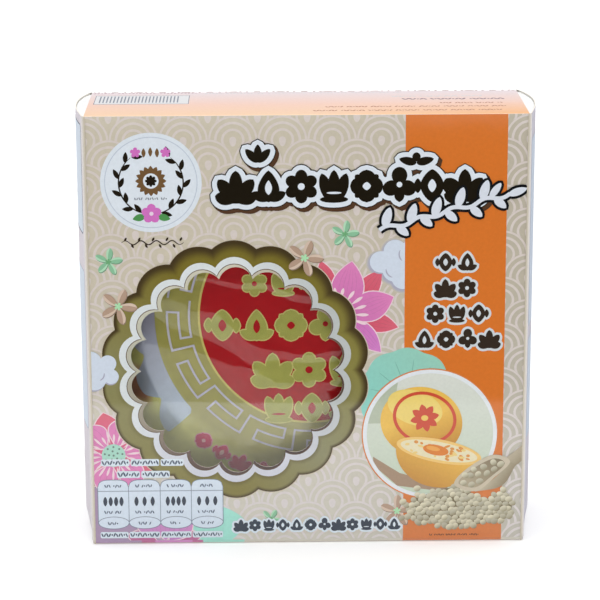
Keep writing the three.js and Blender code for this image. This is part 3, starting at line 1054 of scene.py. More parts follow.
def mark_row(level, x0, x1, z, height, pitch, seed, ink, halo=None, word=7, weight=0.56):
    """A row of fine ovals in groups: they lean left and right in turn, with a round dot after
    every second pair; under each group a rounded halo."""
    rng = np.random.default_rng(seed)
    count = max(int((x1 - x0) / pitch), 2)
    place = np.arange(count)
    shown, dot = (place + seed) % word != 0, place % 5 == 4
    tall = height * np.where(dot, 0.42, rng.uniform(0.8, 1.05, count))
    wide = pitch * weight * np.where(dot, 1.1, rng.uniform(0.85, 1.15, count))
    lean = np.where(dot, 0.0, np.where(place % 2 == 0, 0.42, -0.42))
    lift = z + rng.uniform(-0.06, 0.06, count) * height
    x, lift, wide, tall, lean = (v[shown, None] for v in (x0 + (place + 0.5) * pitch, lift, wide,
                                                           tall, lean))
    a = np.arange(8) * np.pi / 4 + np.pi / 8
    u, v = np.cos(a) * wide * 0.54, np.sin(a) * tall * 0.54
    c, s = np.cos(lean), np.sin(lean)
    points = np.stack([x + c * u - s * v, lift + s * u + c * v], axis=-1)
    patch = points.reshape(-1, 2), [np.arange(points.shape[0] * 8).reshape(-1, 8)]
    layers = [(level + 1, ink, [patch])]
    if halo is not None:
        ends = np.flatnonzero(np.diff(np.concatenate([[0], shown, [0]]))).reshape(-1, 2)
        boxes = fans(round_box((b - a) * pitch + 0.5, height + 0.8, 0.6,
                               (x0 + (a + b) / 2 * pitch, z)) for a, b in ends)
        layers.insert(0, (level, halo, boxes))
    return layers


# The front's drawings

def lotus_right():
    """A flower that rises from behind the frame: coral petals behind, then pink ones."""
    back = [((9.5, 93.0), (4.6, 108.6), 7.0), ((15.0, 88.0), (27.2, 105.0), 8.6),
            ((15.0, 87.5), (33.4, 82.9), 8.0)]
    front = [((12.6, 86.0), (16.2, 108.2), 12.4), ((12.5, 86.8), (31.6, 94.6), 11.6)]
    rays = ray_petals((10.6, 88.0), 6.4, [10.3, 11.0, 11.6, 11.4, 11.8, 11.6, 10.2],
                      [76, 54, 35, 17, -1, -19, 94], 1.2)
    printed("lotus_right", on_front, trimmed([
        *bordered_petals(2.1, back, (226, 84, 110), CORAL, veins=3),
        *bordered_petals(4.2, [((13.2, 88.5), (27.0, 73.4), 8.2)], (226, 120, 196),
                         (226, 142, 214), veins=4),
        *bordered_petals(6.0, front, (218, 120, 190), PINK, veins=5),
        (7.7, BLUSH, fans(rays)),
    ], hole=UNDER_FRAME))


def lotus_left():
    """A flower cut by the left fold, and a second one that rises from the foot."""
    centre, shade_centre = np.array([-71.7, 34.8]), (-75.0, 8.0)
    outer = [(around(3.2, a, centre), around(reach, a, centre), 10.2)
             for a, reach in zip(np.arange(12) * 30 + 12, [15.5, 17.2] * 6)]
    second = [((-55.0, 2.2), (-63.5, 12.5), 8.5), ((-53.0, 1.0), (-53.5, 13.5), 9.2),
              ((-52.0, 1.0), (-43.0, 11.0), 8.6), ((-52.0, 0.5), (-39.5, 3.4), 7.5),
              ((-55.5, 0.5), (-67.5, 3.6), 7.5)]
    shade = ellipse(40, 34, shade_centre, 0, 90)
    rays = ray_petals(centre, 4.6, [9.9, 8.4] * 11, np.arange(22) * 360 / 22 + 6, 0.85)
    pod = ellipse(8.8, 8.8, centre, count=40)
    spots = [ellipse(0.8, 0.8, around(r, a, centre), count=10)
             for r, n, first in ((3.3, 9, 10), (1.7, 5, 30), (0, 1, 0))
             for a in np.arange(n) * 360 / n + first]
    printed("lotus_left", on_front, trimmed([
        soft_edge(1.3, shade, shade_centre, 6.0, MAUVE, TAN_LOW),
        (1.6, MAUVE, [fan(shade, rings=8)]),
        *bordered_petals(2.1, outer[1::2], (232, 110, 152), CORAL),
        *bordered_petals(4.1, outer[0::2], (236, 140, 196), PINK, veins=3),
        *bordered_petals(2.1, second[3:], (206, 110, 164), (210, 128, 170)),
        *bordered_petals(4.1, second[:3], (214, 146, 210), (226, 158, 214), veins=3),
        (6.2, BLUSH, fans(rays)),
        (7.0, (182, 230, 212), [fan(pod, rings=3)]),
        (7.5, (112, 142, 130), fans(spots)),
    ], hole=UNDER_FRAME))


def fold_prints():
    """The bottom fold carries the wall's fields of colour round to the foot, and the upright
    folds carry the ground round to the sides."""
    edges = [-62, -57, -43, -39, -24, BAND_X[0], BAND_X[1]]
    rose, orange = (206, 122, 166), (226, 138, 84)
    fields = np.array([MAUVE, rose, (224, 156, 212), rose, (176, 236, 220), TAN_LOW, orange,
                       TAN_LOW], float)
    x = np.linspace(FRONT_LOW[0], FRONT_HIGH[0], 320)
    lower, upper = (np.column_stack([x, np.full(320, z)]) for z in (0, FOOT_BEND))
    bottom = strip(lower, upper, 6)
    layers = [(1.2, fields[np.searchsorted(edges, bottom[0][:, 0])], [bottom])]
    z = np.linspace(FOOT_BEND, FRONT_HIGH[1], 40)
    for hand in (-1, 1):
        inner, outer = (np.column_stack([np.full(40, hand * (WIDTH / 2 + out)), z])
                        for out in (-1.45, 0.37))
        ink = between(TAN, FOLD_TINT, np.repeat(np.linspace(0, 1, 10) * 4 - 0.6, 40))
        ink = between(ink, SIDE_ROSE, np.repeat(np.linspace(-1, 1, 10), 40))
        layers.append((15.0, ink, [strip(inner, outer, 9)]))
    printed("fold_print", on_front, layers)


def lotus_leaves():
    """The round leaf behind the picture, with fine veins, and the leaf by the foot."""
    centre = np.array([36.2, 57.5])
    edge = rosette(9, 17.8, 0.05, 1.4, centre, 8, 90)
    t = np.linspace(0.25, 0.8, 10)[:, None]
    rays = [around(1, a, (0, 0)) for a in range(20, 380, 30)]
    veins = [ribbon(centre + 16.8 * t * ray + 0.5 * np.sin(3 * t) * ray[::-1], 0.22, 0.7)
             for ray in rays]
    foot = petal(25.0, 17.0, 0.9, 0.7, (-48.0, 5.0), 8, 30)
    printed("lotus_leaves", on_front, trimmed([
        (3, fading((150, 226, 214), MINT, centre - [16, 12], centre + [12, 12]),
         [fan(edge, centre, 6)]),
        (3.4, MINT_DEEP, veins),
        (1.9, (176, 242, 226), [fan(foot, rings=3)]),
    ], hole=UNDER_FRAME))


def clouds():
    right = cloud(2.2, [(26.6, 107.6, 4.0), (31.8, 111.6, 4.2), (36.6, 110.6, 4.4),
                        (31.6, 104.6, 4.4), (34.6, 101.4, 4.0), (38.0, 104.0, 5.0)],
                  (32.6, 106.6), folds=[(36.4, 110.4, 3.2, 190), (31.6, 104.8, 3.1, 215)])
    printed("cloud_right", on_front, trimmed(right, high=np.array([BAND_X[0], 150.0])))
    left = cloud(9, [(-78.2, 64.6, 4.6), (-79.4, 70.6, 4.2), (-73.0, 70.2, 3.1),
                     (-71.9, 65.2, 2.8)], (-76.2, 67.4), folds=[(-77.0, 66.2, 2.6, 330)])
    printed("cloud_left", on_front, trimmed(left[1:]))


def scattered_flowers():
    printed("scattered_flowers", on_front, trimmed(flowers([
        (4, -71.9, 108.4, 5.2, 82, MINT_FLOWER), (4, 13.6, 118.0, 5.2, 80, MINT_FLOWER),
        (3, -13.9, 9.6, 4.0, 60, MINT_FLOWER), (10, -68.7, 91.7, 6.9, 68, BEIGE_FLOWER),
        (10, -1.0, 109.3, 6.9, 70, BEIGE_FLOWER), (4, 33.0, 12.2, 6.4, 88, BEIGE_FLOWER),
    ])))


# The round badge, the heading and the rows of ornaments

def badge():
    """A pale disc with a wreath round a blossom: leaves in pairs along two branches."""
    centre, heart = np.array([-56.0, 137.5]), np.array([-56.0, 138.1])
    wreath, disc, violet = 11.6, (238, 246, 254), (226, 122, 206)
    leaves, branches = [], []
    for hand in (-1, 1):
        a = np.linspace(-84, 52, 24)
        branches.append(ribbon(around(wreath, a if hand > 0 else 180 - a, centre), 0.5, 0.8))
        for k, angle in enumerate(np.linspace(-72, 54, 9)):
            spot = around(wreath, angle if hand > 0 else 180 - angle, centre)
            along = angle + 90 if hand > 0 else 90 - angle
            leaves.append(petal(4.1, 1.75, 0.9, 0.8, spot, along + (34 if k % 2 else -34), 10))
    rim = ellipse(33.4, 33.4, centre, count=90)
    flower = [petal(3.7, 3.1, 1.3, 0.6, centre + [0, -11.4], a, 12) for a in range(90, 450, 72)]
    sprigs = [leaf_between(centre + [k * 1.8, -12.2], centre + [k * 6.8, -13.4], 2.6)
              for k in (-1, 1)]
    sun = [petal(5.6, 2.3, 1.2, 0.8, heart, 22.5 * k, 10) for k in range(16)]
    small = [rosette(5, 1.9, 0.4, 0.6, centre + [k * 5.4, 11.0], 90, 30) for k in (-1, 1)]
    crown = [lozenge(1.5, 3.4, 1.4, centre + [dx, 11.2 - abs(dx) * 0.14], count=14)
             for dx in (0, -2.4, 2.4)]
    printed("badge", on_front, [
        (3, disc, [fan(ellipse(36.4, 36.4, centre, count=120), rings=6)]),
        (4, (206, 216, 230), [strip(rim, grown(rim, -0.3), closed=True)]),
        (4, INK_BLACK, fans(leaves) + branches),
        (4, (124, 92, 56), fans(sun + crown)),
        (5, disc, [fan(ellipse(5.6, 5.6, heart))]),
        (6, INK_BLACK, [fan(rosette(8, 2.1, 0.4, 0.6, heart))]),
        (5, (86, 160, 88), fans(sprigs)),
        (6, violet, fans(flower)),
        (5, violet, fans(small)),
        (7, (250, 226, 244), [fan(ellipse(1.5, 1.5, centre + [0, -11.4], count=16))]),
        *mark_row(5, centre[0] - 6.2, centre[0] + 6.2, centre[1] - 5.9, 1.1, 0.8, 3,
                  (150, 158, 170)),
    ])


def heading():
    """Heavy ornaments in a row, with smaller ones above two of them. Their outlines, grown,
    run together to the white backing, its dark line and its brown shadow."""
    row = (palmette, bud, blossom, sheaf, quatrefoil, trefoil, lozenges, palmette)
    dark, pale = motifs([(motif, -25.6 + 11.75 * k, 135.7, 6.0) for k, motif in enumerate(row)])
    dark += [petal(6.6, 3.0, 0.9, 0.65, (-17.6, 144.6), a, 18) for a in (90, 48, 132)]
    dark += [petal(6.4, 3.0, 0.85, 0.65, (39.2, 144.0), a, 18) for a in (14, 166)]
    dark += [ellipse(3.0, 3.4, (39.2, 146.2), count=24)]
    backing = (238, 246, 254)
    shadows = [(8 + 0.9 * k, (92, 62, 40), fans(grown(o, 2.2) + [0.5 * k, -0.55 * k] for o in dark))
               for k in (1, 2)]
    printed("heading", on_front, shadows + [
        (10.7, (38, 30, 24), fans(grown(o, 2.1) for o in dark)),
        (11.7, backing, fans(grown(o, 1.75) for o in dark)),
        (12.7, (30, 22, 4), fans(dark)),
        (13.7, backing, fans(pale)),
    ])


def flourish():
    """A leafy vine that rises to the right, in white with a black outline: a waving stem, with
    a long leaf above and a short one below in turn."""
    start, end = np.array([26.0, 119.4]), np.array([73.0, 132.6])
    run = end - start
    lean = math.degrees(math.atan2(run[1], run[0]))
    across = np.array([-run[1], run[0]]) / math.hypot(*run)

    def on_stem(share):
        return start + share * run + 0.8 * np.sin(8 * np.pi * share) * across

    stem = on_stem(np.linspace(0, 1, 60)[:, None])
    leaves = []
    for k, share in enumerate(np.linspace(0.04, 0.88, 10)):
        length, width, turn = (5.6, 3.0, -56) if k % 2 else (7.6, 3.4, 58)
        leaves.append(petal(length, width, 0.85, 0.6, on_stem(share), lean + turn, 13))
    leaves += [petal(7.2, 2.8, 0.9, 0.6, stem[-2], lean + 4, 14),
               petal(6.8, 2.6, 0.9, 0.6, stem[50], lean + 38, 14)]
    printed("flourish", on_front, [
        (14.0, (18, 20, 24), [ribbon(stem, 3.4)] + fans(grown(o, 0.95) for o in leaves)),
        (15.0, (232, 238, 248), [ribbon(stem, 1.5)] + fans(leaves)),
    ])


def band_ornaments():
    """Four rows of ornaments down the orange band, and a fine row at its foot."""
    layers = []
    for z, count, first, middle in ((107.3, 2, 3, 54.0), (97.6, 2, 0, 54.0), (88.0, 3, 1, 54.4),
                                    (78.3, 4, 4, 54.5)):
        reach = 3.95 * count
        layers += motif_row(4, (middle - reach, z), (middle + reach, z), count, 3.4, (58, 45, 34),
                            (226, 232, 236), 0.9, first)
    layers += mark_row(4, 45.0, 64.0, 2.7, 0.9, 0.62, 5, (110, 70, 50))
    printed("band_ornaments", on_front, layers)


def small_print():
    """The fine rows round the capsules and the foot, and a waving twig below the badge."""
    slate = (84, 98, 120)
    a = np.radians(np.linspace(0, 1, 60) * 360 * 4)
    script = np.column_stack([np.linspace(-67.0, -44.6, 60), 115.4 + 0.75 * np.sin(a)])
    buds = [petal(1.7, 0.8, 1.0, 0.7, (x, 115.4 + k * 0.5), 60 * k, 8)
            for x, k in zip(np.linspace(-66.0, -46.0, 9), [1, -1] * 5)]
    printed("small_print", on_front, [
        *mark_row(9.5, -76.2, -46.0, 32.0, 1.9, 1.0, 1, slate, COOL_WHITE, 11),
        *mark_row(9.5, -70.4, -51.0, 27.4, 1.9, 1.0, 4, slate, COOL_WHITE, 12),
        *mark_row(6.5, -77.0, -32.0, 3.7, 1.7, 0.9, 2, slate, COOL_WHITE, 13),
        *motif_row(8.5, (-27.6, 7.1), (34.6, 7.1), 12, 2.3, SLATE, COOL_WHITE, 0.75),
        (4, (60, 46, 30), [ribbon(script, 0.42, 0.6)] + fans(buds)),
    ])


def value_capsules():
    """Four joined capsules, each with an arched head, a ruled line and an oval foot."""
    edges = [-77.9, -66.5, -54.8, -43.3, -31.6]
    fills, lines, marks, small = [], [], [], []
    t = np.linspace(-1, 1, 25)
    for k, (x0, x1) in enumerate(zip(edges, edges[1:])):
        middle, half = (x0 + x1) / 2, (x1 - x0) / 2
        x = middle + half * t
        head = np.column_stack([x, 22.4 + 2.9 * np.sqrt(1 - t**4)])
        foot = np.column_stack([x, 8.5 - 2.35 * np.sqrt(1 - t * t)])
        fills.append(strip(foot, head, 6))
        oval = ellipse(2 * half, 4.7, (middle, 8.5), count=48)
        for outline in (np.vstack([head[::-1], foot]), oval):
            lines.append(strip(grown(outline, -0.12), grown(outline, 0.12), closed=True))
        lines.append(bars([middle], 20.925, 2 * half, 0.25))
        marks += [lozenge(1.55, 3.7, 1.6, (middle + out, 16.9), count=18)
                  for out in np.linspace(-3.0, 3.0, 4 - k % 2)]
        for z, inset, seed in ((22.9, 2.4, 11), (12.7, 2.2, 17), (8.3, 3.4, 23)):
            small += mark_row(10.9, x0 + inset, x1 - inset, z, 1.4, 0.8, seed + k, (104, 118, 140))
    printed("value_capsules", on_front, [
        (9.4, (230, 242, 255), fills), (10.4, (140, 152, 172), lines),
        (11.4, (62, 70, 86), fans(marks)),
    ] + small)


# The picture of the filling

def picture():
    """A whole golden bun and a cut half with its filling, as plain shapes in a ringed disc."""
    c = np.array([45.0, 42.1])
    bun, half = c + [-3.2, 4.6], c + [3.4, -6.6]
    stamp = bun + [1.2, 1.6]
    red, tilt = (222, 84, 58), -12

    def ring(inner, outer):
        return strip(*(ellipse(d, d, c, count=120) for d in (inner, outer)), closed=True)

    def inside(patches):
        return [trim(patch, c - 23.4, c + 23.4, within=(*c, 23.3)) for patch in patches]

    def slope(light, dark, centre, run, start, length):
        return lambda p: between(light, dark, ((p - centre) @ np.array(run) + start) / length)

    t = np.linspace(np.pi, 2 * np.pi, 40)
    bowl, brim = (turned(np.column_stack([16.0 * np.cos(t), drop * np.sin(t)]), tilt, half)
                  for drop in (14.2, -4.5))
    circle = ellipse(21.4, 17.6, stamp, -18, 60)
    leaf = strip(np.array([[20.0, 46.4], [31.0, 46.4], [31.0, 68.0]]),
                 np.array([[20.0, 66.0], [20.0, 68.0], [24.0, 68.0]]), 6)
    board = strip(np.array([[20.0, 17.0], [32.0, 17.0], [50.0, 17.0]]),
                  np.array([[24.0, 33.5], [34.0, 27.0], [52.0, 22.0]]), 8)
    star = [petal(5.4, 2.7, 1.2, 0.8, stamp, a, 12) for a in range(12, 372, 45)]
    rng = np.random.default_rng(5)
    crumbs = []
    for _ in range(34):
        u, v = rng.uniform(-0.86, 0.86), rng.uniform(-0.72, 0.72)
        spot = turned(np.array([[u * 14.6 * math.sqrt(1 - v * v), v * 3.6]]), tilt, half)[0]
        crumbs.append(ellipse(rng.uniform(1.0, 2.6), rng.uniform(0.7, 1.3), spot,
                              rng.uniform(-40, 20), 14))
    printed("filling_picture", on_front, [
        (5, (232, 140, 74), [ring(49.4, 50.4)]),
        (6, (244, 248, 252), [ring(46.6, 49.5)]),
        (5, fading((214, 228, 206), (232, 236, 226), c - [0, 18], c + [0, 20]),
         [fan(ellipse(47.0, 47.0, c, count=120), rings=8)]),
        (6, (196, 206, 184), inside([leaf])),
        (6.5, (178, 150, 124), inside([board])),
        (7.4, slope(GOLDEN, (206, 140, 44), bun, (0.35, -1.0), 2, 17),
         inside([fan(ellipse(30.4, 27.0, bun, -14, 70), rings=8)])),
        (8.2, (255, 226, 126),
         inside([fan(ellipse(21.0, 13.0, bun + [-2.4, 5.6], -20, 50), rings=3)])),
        (9.0, red, inside([strip(circle, grown(circle, 1.2), closed=True)])),
        (9.0, red, inside(fans(star))),
        (9.6, (255, 214, 110), inside([fan(ellipse(2.6, 2.2, stamp, count=20))])),
        (10.0, slope((250, 196, 84), (206, 146, 60), half, (-0.5, -1.0), 0, 18),
         inside([strip(bowl, brim, 8)])),
        (10.8, (255, 214, 128), inside([fan(ellipse(32.0, 9.0, half, tilt, 60), rings=4)])),
        (11.5, (250, 238, 200), inside([fan(ellipse(29.0, 6.9, half, tilt, 60), rings=4)])),
        (12.2, (236, 160, 72), inside(fans(crumbs[:22]))),
        (12.8, (252, 222, 140), inside(fans(crumbs[22:]))),
        (13.2, (238, 138, 50),
         inside([fan(ellipse(9.6, 4.0, half + [-1.2, 0.4], tilt, 40), rings=2)])),
        (13.6, (252, 178, 84), inside([fan(ellipse(5.2, 1.7, half + [-2.2, 1.0], tilt, 24))])),
    ])


def beans_and_scoop():
    """Beans on a jittered hexagon grid inside the heap's outline and in the scoop, each with
    its own light and shade, from a wooden scoop whose handle leaves at the right fold."""
    rng = np.random.default_rng(11)
    heap = smooth_path([(35.6, 13.0), (38.5, 8.0), (47.0, 6.2), (56.0, 4.9), (66.0, 6.4),
                        (73.0, 8.0), (76.4, 12.0), (75.6, 18.0), (70.0, 18.6), (64.0, 17.6),
                        (58.0, 22.0), (50.0, 21.6), (44.0, 19.6), (38.6, 17.6), (35.6, 13.0)],
                       6)[:-1]
    row, column = (g.ravel() for g in np.meshgrid(np.arange(13), np.arange(24)))
    spots = np.column_stack([34 + 2.2 * (column + 0.5 * (row % 2)), 4.4 + 1.72 * row])
    spots += rng.uniform(-0.42, 0.42, spots.shape)
    spots = spots[inside_outline(spots, heap)]
    strays = [(34.8, 9.4), (35.2, 15.8), (40.4, 21.0), (72.4, 20.2)]
    trough = [(57.6, 23.0), (60.2, 25.9), (63.0, 26.4), (61.4, 28.2), (65.0, 29.2), (66.2, 26.7),
              (68.6, 30.9), (68.9, 28.3), (60.6, 22.3), (63.6, 23.6), (71.3, 30.2), (58.2, 26.0)]
    spots = np.vstack([spots[np.argsort(-spots[:, 1])], strays, trough])
    shapes, inks = [], []
    for spot in spots:
        size = rng.uniform(2.15, 2.7)
        oval = ellipse(size * rng.uniform(1.0, 1.22), size * 0.92, spot, rng.uniform(-60, 60), 18)
        shapes.append(fan(oval, rings=3))
        shade = (shapes[-1][0] - spot) @ np.array([0.45, -0.9]) / size
        tint = np.array(BEAN) * rng.uniform(0.84, 1.04)
        inks.append(between(tint, BEAN_SHADE, np.clip(shade + 0.36, 0, 1) ** 1.5))
    heaped = len(spots) - len(trough)
    wood = (216, 204, 180)
    rim = smooth_ring([(54.2, 22.4), (58.6, 28.4), (68.2, 33.8), (74.8, 31.2), (68.8, 24.8),
                       (62.2, 19.7)])
    hollow = smooth_ring([(55.8, 22.8), (59.2, 27.2), (68.2, 32.3), (72.8, 30.4), (67.8, 25.4),
                          (62.0, 21.2)])
    lower_rim, belly, upper_handle, lower_handle = (smooth_path(line, 8) for line in (
        [(61.9, 19.9), (68.8, 24.6), (75.0, 31.0)], [(62.0, 19.5), (71.9, 21.8), (77.0, 30.0)],
        [(73.4, 32.8), (77.0, 35.6), (81.0, 39.4)], [(76.2, 29.0), (78.6, 31.0), (81.0, 33.2)]))
    printed("beans_and_scoop", on_front, trimmed([
        (10.1, (132, 120, 88), [fan(grown(heap, -0.9), (57.0, 12.6), 4)]),
        (11.1, inks[:heaped], shapes[:heaped]),
        (12.2, fading(wood, (166, 152, 124), (74, 36), (79, 31)),
         [strip(upper_handle, lower_handle, 5)]),
        (12.4, fading((206, 194, 168), (150, 136, 108), (68, 26), (74, 22)),
         [strip(lower_rim, belly, 5)]),
        (12.8, wood, [fan(rim, (65.6, 27.0), 3)]),
        (13.3, fading((140, 126, 98), (190, 176, 148), (70, 33), (60, 22)),
         [fan(hollow, (65.4, 26.8), 3)]),
        (13.8, inks[heaped:], shapes[heaped:]),
    ]))


def print_window_frame():
    """Gold band between two scalloped outlines, shaded at its outer edge towards the top right, the
    white rim inside it and the bevel down to the cut edge. The bevel's thin brown line, its cream
    top and its dark brown lower right are painted shadow and light of the cut edge and the gap
    behind it."""
    steps = 10
    rim_inner, rim_outer, outer = (lobed(r, PRINTED_WINDOW)
                                   for r in (RIM_INNER, RIM_OUTER, FRAME_OUTER))
    halo = lobed((FRAME_OUTER[0] + 0.3, FRAME_OUTER[1] + 0.3), PRINTED_WINDOW)

    def band_ink(points):
        share = np.repeat(np.linspace(0, 1, steps + 1), len(outer))
        angle = np.arctan2(*(points - PRINTED_WINDOW).T[::-1])
        reach = 0.16 + 0.64 * np.clip(0.35 + np.cos(angle - math.radians(70)), 0, 1)
        dark = smooth_step((share - 1 + reach) / reach)
        under_rim = 0.3 * np.clip(0.2 - np.sin(angle), 0, 1) * (1 - smooth_step(share / 0.35))
        places = [-180, -120, -90, -45, 0, 60, 120, 180]
        pale = np.interp(np.degrees(angle), places, [0.8, 0.5, 0.3, 1.0, 0.4, 0, 0, 0.8])
        deep = np.interp(np.degrees(angle), places, [0, 0.3, 0.5, 0, 0, 1, 1, 0])
        ground = between(GOLD, GOLD_PALE, pale)
        ground += deep[:, None] * (np.array(GOLD_DEEP) - GOLD)
        shade = np.maximum(dark, under_rim)[:, None]
        return ground * (1 - shade) + np.array(SHADE) * shade

    def rim_ink(points):
        angle = np.arctan2(*(points - PRINTED_WINDOW).T[::-1])
        ink = between(WHITE, (202, 207, 206), np.clip(1.3 * np.cos(angle) - 0.1, 0, 1))
        return between(ink, (222, 224, 235), np.clip(-1.6 * np.sin(angle) - 0.5, 0, 1))

    # Cream at the top, dark brown at the bottom and right: painted light and shade of the window's
    # cut edge.
    def bevel_light_and_shade(points):
        angle = np.degrees(np.arctan2(*(points - WINDOW).T[::-1])) % 360
        places = [0, 60, 90, 150, 180, 215, 245, 300, 360]
        shades = np.array([(96, 78, 70), (200, 190, 170), (222, 216, 196), (214, 212, 192),
                           (196, 194, 176), (158, 146, 130), (104, 84, 78), (78, 60, 58),
                           (96, 78, 70)])
        return np.column_stack([np.interp(angle, places, shades[:, i]) for i in range(3)])

    # The brown line round the rim's inner edge is a painted shadow of the cut edge.
    edge_line = grown(rim_inner, -0.28)
    printed("window_frame", on_front, [
        (8, (226, 214, 190), [strip(outer, halo, closed=True)]),
        (8, (88, 70, 42), [strip(grown(outer, -0.25), outer, closed=True)]),
        (8, band_ink, [strip(rim_outer, grown(outer, -0.25), steps, closed=True)]),
    ])
    printed("window_rim", on_front, [
        (8, rim_ink, [strip(rim_inner, rim_outer, closed=True)]),
        (8, EDGE_SHADOW_BROWN, [strip(edge_line, rim_inner, closed=True)]),
        (8, bevel_light_and_shade, [strip(lobed(CUT_EDGE), edge_line, closed=True)]),
    ])


# The lid, the sides, the back and the foot

def panel(level, centre, width, height, radius, fill=(248, 250, 254), line=(96, 104, 120)):
    """A pale panel with round corners and a thin outline, in steps fine enough to follow a
    bowed wall."""
    outline = round_box(width, height, radius, centre)
    outline = even_steps(np.vstack([outline, outline[:1]]), 2.2)[:-1]
    return [(level, fill, [fan(outline, rings=14)]),
            (level + 1, line, [strip(grown(outline, -0.2), grown(outline, 0.2), closed=True)])]


def mark_block(level, x0, x1, top, rows, drop, height, ink, seed, ragged=0.0):
    """Rows of fine ovals under one another, the right end of each a little different."""
    rng = np.random.default_rng(seed)
    ends = x1 - ragged * (x1 - x0) * rng.uniform(0, 1, rows)
    return [layer for k, end in enumerate(ends)
            for layer in mark_row(level, x0, end, top - k * drop, height, 0.62 * height,
                                  seed + k, ink, word=5 + k % 4)]


def print_lid():
    """A ruled field at the back left, and rows of fine ovals."""
    ruled = [bars(np.arange(-75.6, -46.8, 1.3), 9.0, 0.5, 13.0),
             bars([-42.9, -77.5], 8.35, 0.26, 17.7), bars(-60.2, [-0.4, 17.1], 34.8, 0.36)]
    layers = [(3, (250, 250, 252), [rectangle((-77.6, -42.8), (-0.5, 17.2), 3)]),
              (4, (108, 120, 142), ruled)]
    brown, grey, white, rose = (206, 128, 92), (150, 118, 132), (255, 252, 252), (214, 164, 182)
    for seed, (x0, x1, y, height, pitch, ink, word, weight) in enumerate((
            (2.4, 72.2, -15.9, 2.3, 1.1, brown, 9, 0.6),
            (6.9, 73.0, -8.4, 2.3, 1.1, brown, 8, 0.6),
            (49.0, 73.0, -1.6, 2.3, 1.1, brown, 7, 0.6),
            (35.7, 74.7, 6.6, 2.8, 1.3, grey, 11, 0.66),
            (32.0, 66.0, 12.4, 2.4, 1.3, white, 12, 0.66),
            (-79.0, -39.5, 22.0, 1.4, 1.3, rose, 12, 0.56),
            (-37.3, 35.7, 21.0, 1.8, 1.3, white, 12, 0.6)), 1):
        layers += mark_row(3, x0, x1, y, height, pitch, seed, ink, word=word, weight=weight)
    printed("lid_print", on_lid, layers)


def print_sides():
    """Two panels with rows of fine ovals above three ornaments, on each side wall."""
    slate, sand, halo = (130, 140, 160), (186, 164, 140), (246, 242, 248)
    printed("side_print_left", on_side(-1), [
        *panel(2, (0, 138.0), 43.0, 40.0, 1.5, SIDE_BLUE),
        *mark_block(4, -18.5, 2.0, 153.5, 9, 4.0, 1.7, slate, 31, 0.2),
        *panel(2, (0, 74.0), 43.0, 60.0, 1.5, SIDE_BLUE, (198, 204, 216)),
        (4, (186, 194, 208), [bars(0.0, np.linspace(50, 98, 9), 38.0, 0.22)]),
        *mark_block(4, -18.0, -4.0, 95.4, 9, 6.0, 1.7, slate, 57, 0.3),
        *mark_block(4, -2.0, 3.0, 95.4, 9, 6.0, 1.7, slate, 71),
        *motif_row(4, (-18.0, 27.0), (3.0, 27.0), 3, 3.0, sand, halo, 0.4, 1),
    ], SIDE_PRINT)
    # The right wall's panels are darker than the left's: painted shade, where less light falls on
    # that side.
    fill, line = (212, 222, 236), (206, 212, 222)
    printed("side_print_right", on_side(1), [
        *panel(2, (0, 117.0), 43.0, 70.0, 1.5, fill, line),
        *mark_block(4, -2.0, 18.5, 146.0, 14, 4.4, 1.7, slate, 91, 0.25),
        *panel(2, (0, 58.0), 43.0, 38.0, 1.5, fill, line),
        *mark_block(4, -2.0, 18.0, 72.5, 8, 4.2, 1.7, slate, 121, 0.3),
        *motif_row(4, (-3.0, 25.0), (18.0, 25.0), 3, 3.0, sand, halo, 0.4, 3),
    ], SIDE_PRINT)


def print_back():
    """The back repeats the front's waves and band round a white panel of fine rows."""
    printed("wave_pattern_back", on_back, [(1, WAVE, wave_lines())])
    band = rectangle((-BAND_X[1], -BAND_X[0]), (1.5, 159.6), 20)
    printed("orange_band_back", on_back, [(2, ORANGE, [band])])
    dark = (62, 48, 36)
    picture_edge = round_box(36.0, 21.0, 2.0, (45.0, 65.0))
    printed("back_print", on_back, [
        *panel(4, (24.0, 92.0), 92.0, 84.0, 5.0, line=(120, 104, 84)),
        *motif_row(6, (-12.0, 126.0), (60.0, 126.0), 9, 3.1, dark, (226, 214, 196), 0.45),
        *mark_block(6, -16.0, 64.0, 116.0, 9, 4.4, 1.8, (92, 84, 78), 141, 0.25),
        *mark_block(6, -16.0, 20.0, 74.0, 5, 4.4, 1.8, (92, 84, 78), 161, 0.3),
        (6, (196, 186, 170), [strip(grown(picture_edge, -0.2), grown(picture_edge, 0.2),
                                    closed=True)]),
        *motif_row(4, (-53.6, 128.0), (-53.6, 48.0), 8, 3.6, dark, WHITE, 0.8, 2),
        *flowers([(7, 45.0, 65.0, 8.6, 90, BEIGE_FLOWER), (5, -8.0, 30.0, 7.2, 70, BEIGE_FLOWER),
                  (5, 58.0, 26.0, 6.0, 50, MINT_FLOWER), (5, 24.0, 150.0, 5.4, 30, MINT_FLOWER)]),
    ])


def print_foot():
    """Fine rows in the middle of the underside, and two ornaments at each end."""
    tan, halo = (196, 156, 126), (236, 212, 190)
    printed("foot_print", on_foot, [
        *mark_block(3, -40.0, 40.0, 8.0, 4, 4.4, 1.7, (186, 146, 118), 181, 0.4),
        *motif_row(3, (-66.0, 0.0), (-50.0, 0.0), 2, 4.0, tan, halo, 0.5, 3),
        *motif_row(3, (50.0, 0.0), (66.0, 0.0), 2, 4.0, tan, halo, 0.5, 5),
    ])


def print_front():
    waves = wave_lines((*PRINTED_WINDOW, 44.0))
    printed("wave_pattern", on_front, [(1, fading(WAVE_LOW, WAVE, (0, 10), (0, 100)), waves)])
    band = rectangle(BAND_X, (FRONT_LOW[1], FRONT_HIGH[1]), 30)
    ink = fading((234, 126, 44), (232, 136, 74), (0, 56), (0, 4))
    printed("orange_band", on_front, [(2, ink, [band])])
    for drawing in (fold_prints, print_window_frame, lotus_right, lotus_left, lotus_leaves,
                    clouds, scattered_flowers, badge, heading, flourish, band_ornaments,
                    small_print, value_capsules, picture, beans_and_scoop):
        drawing()


# ---- window film ------------------------------------------------------------------------


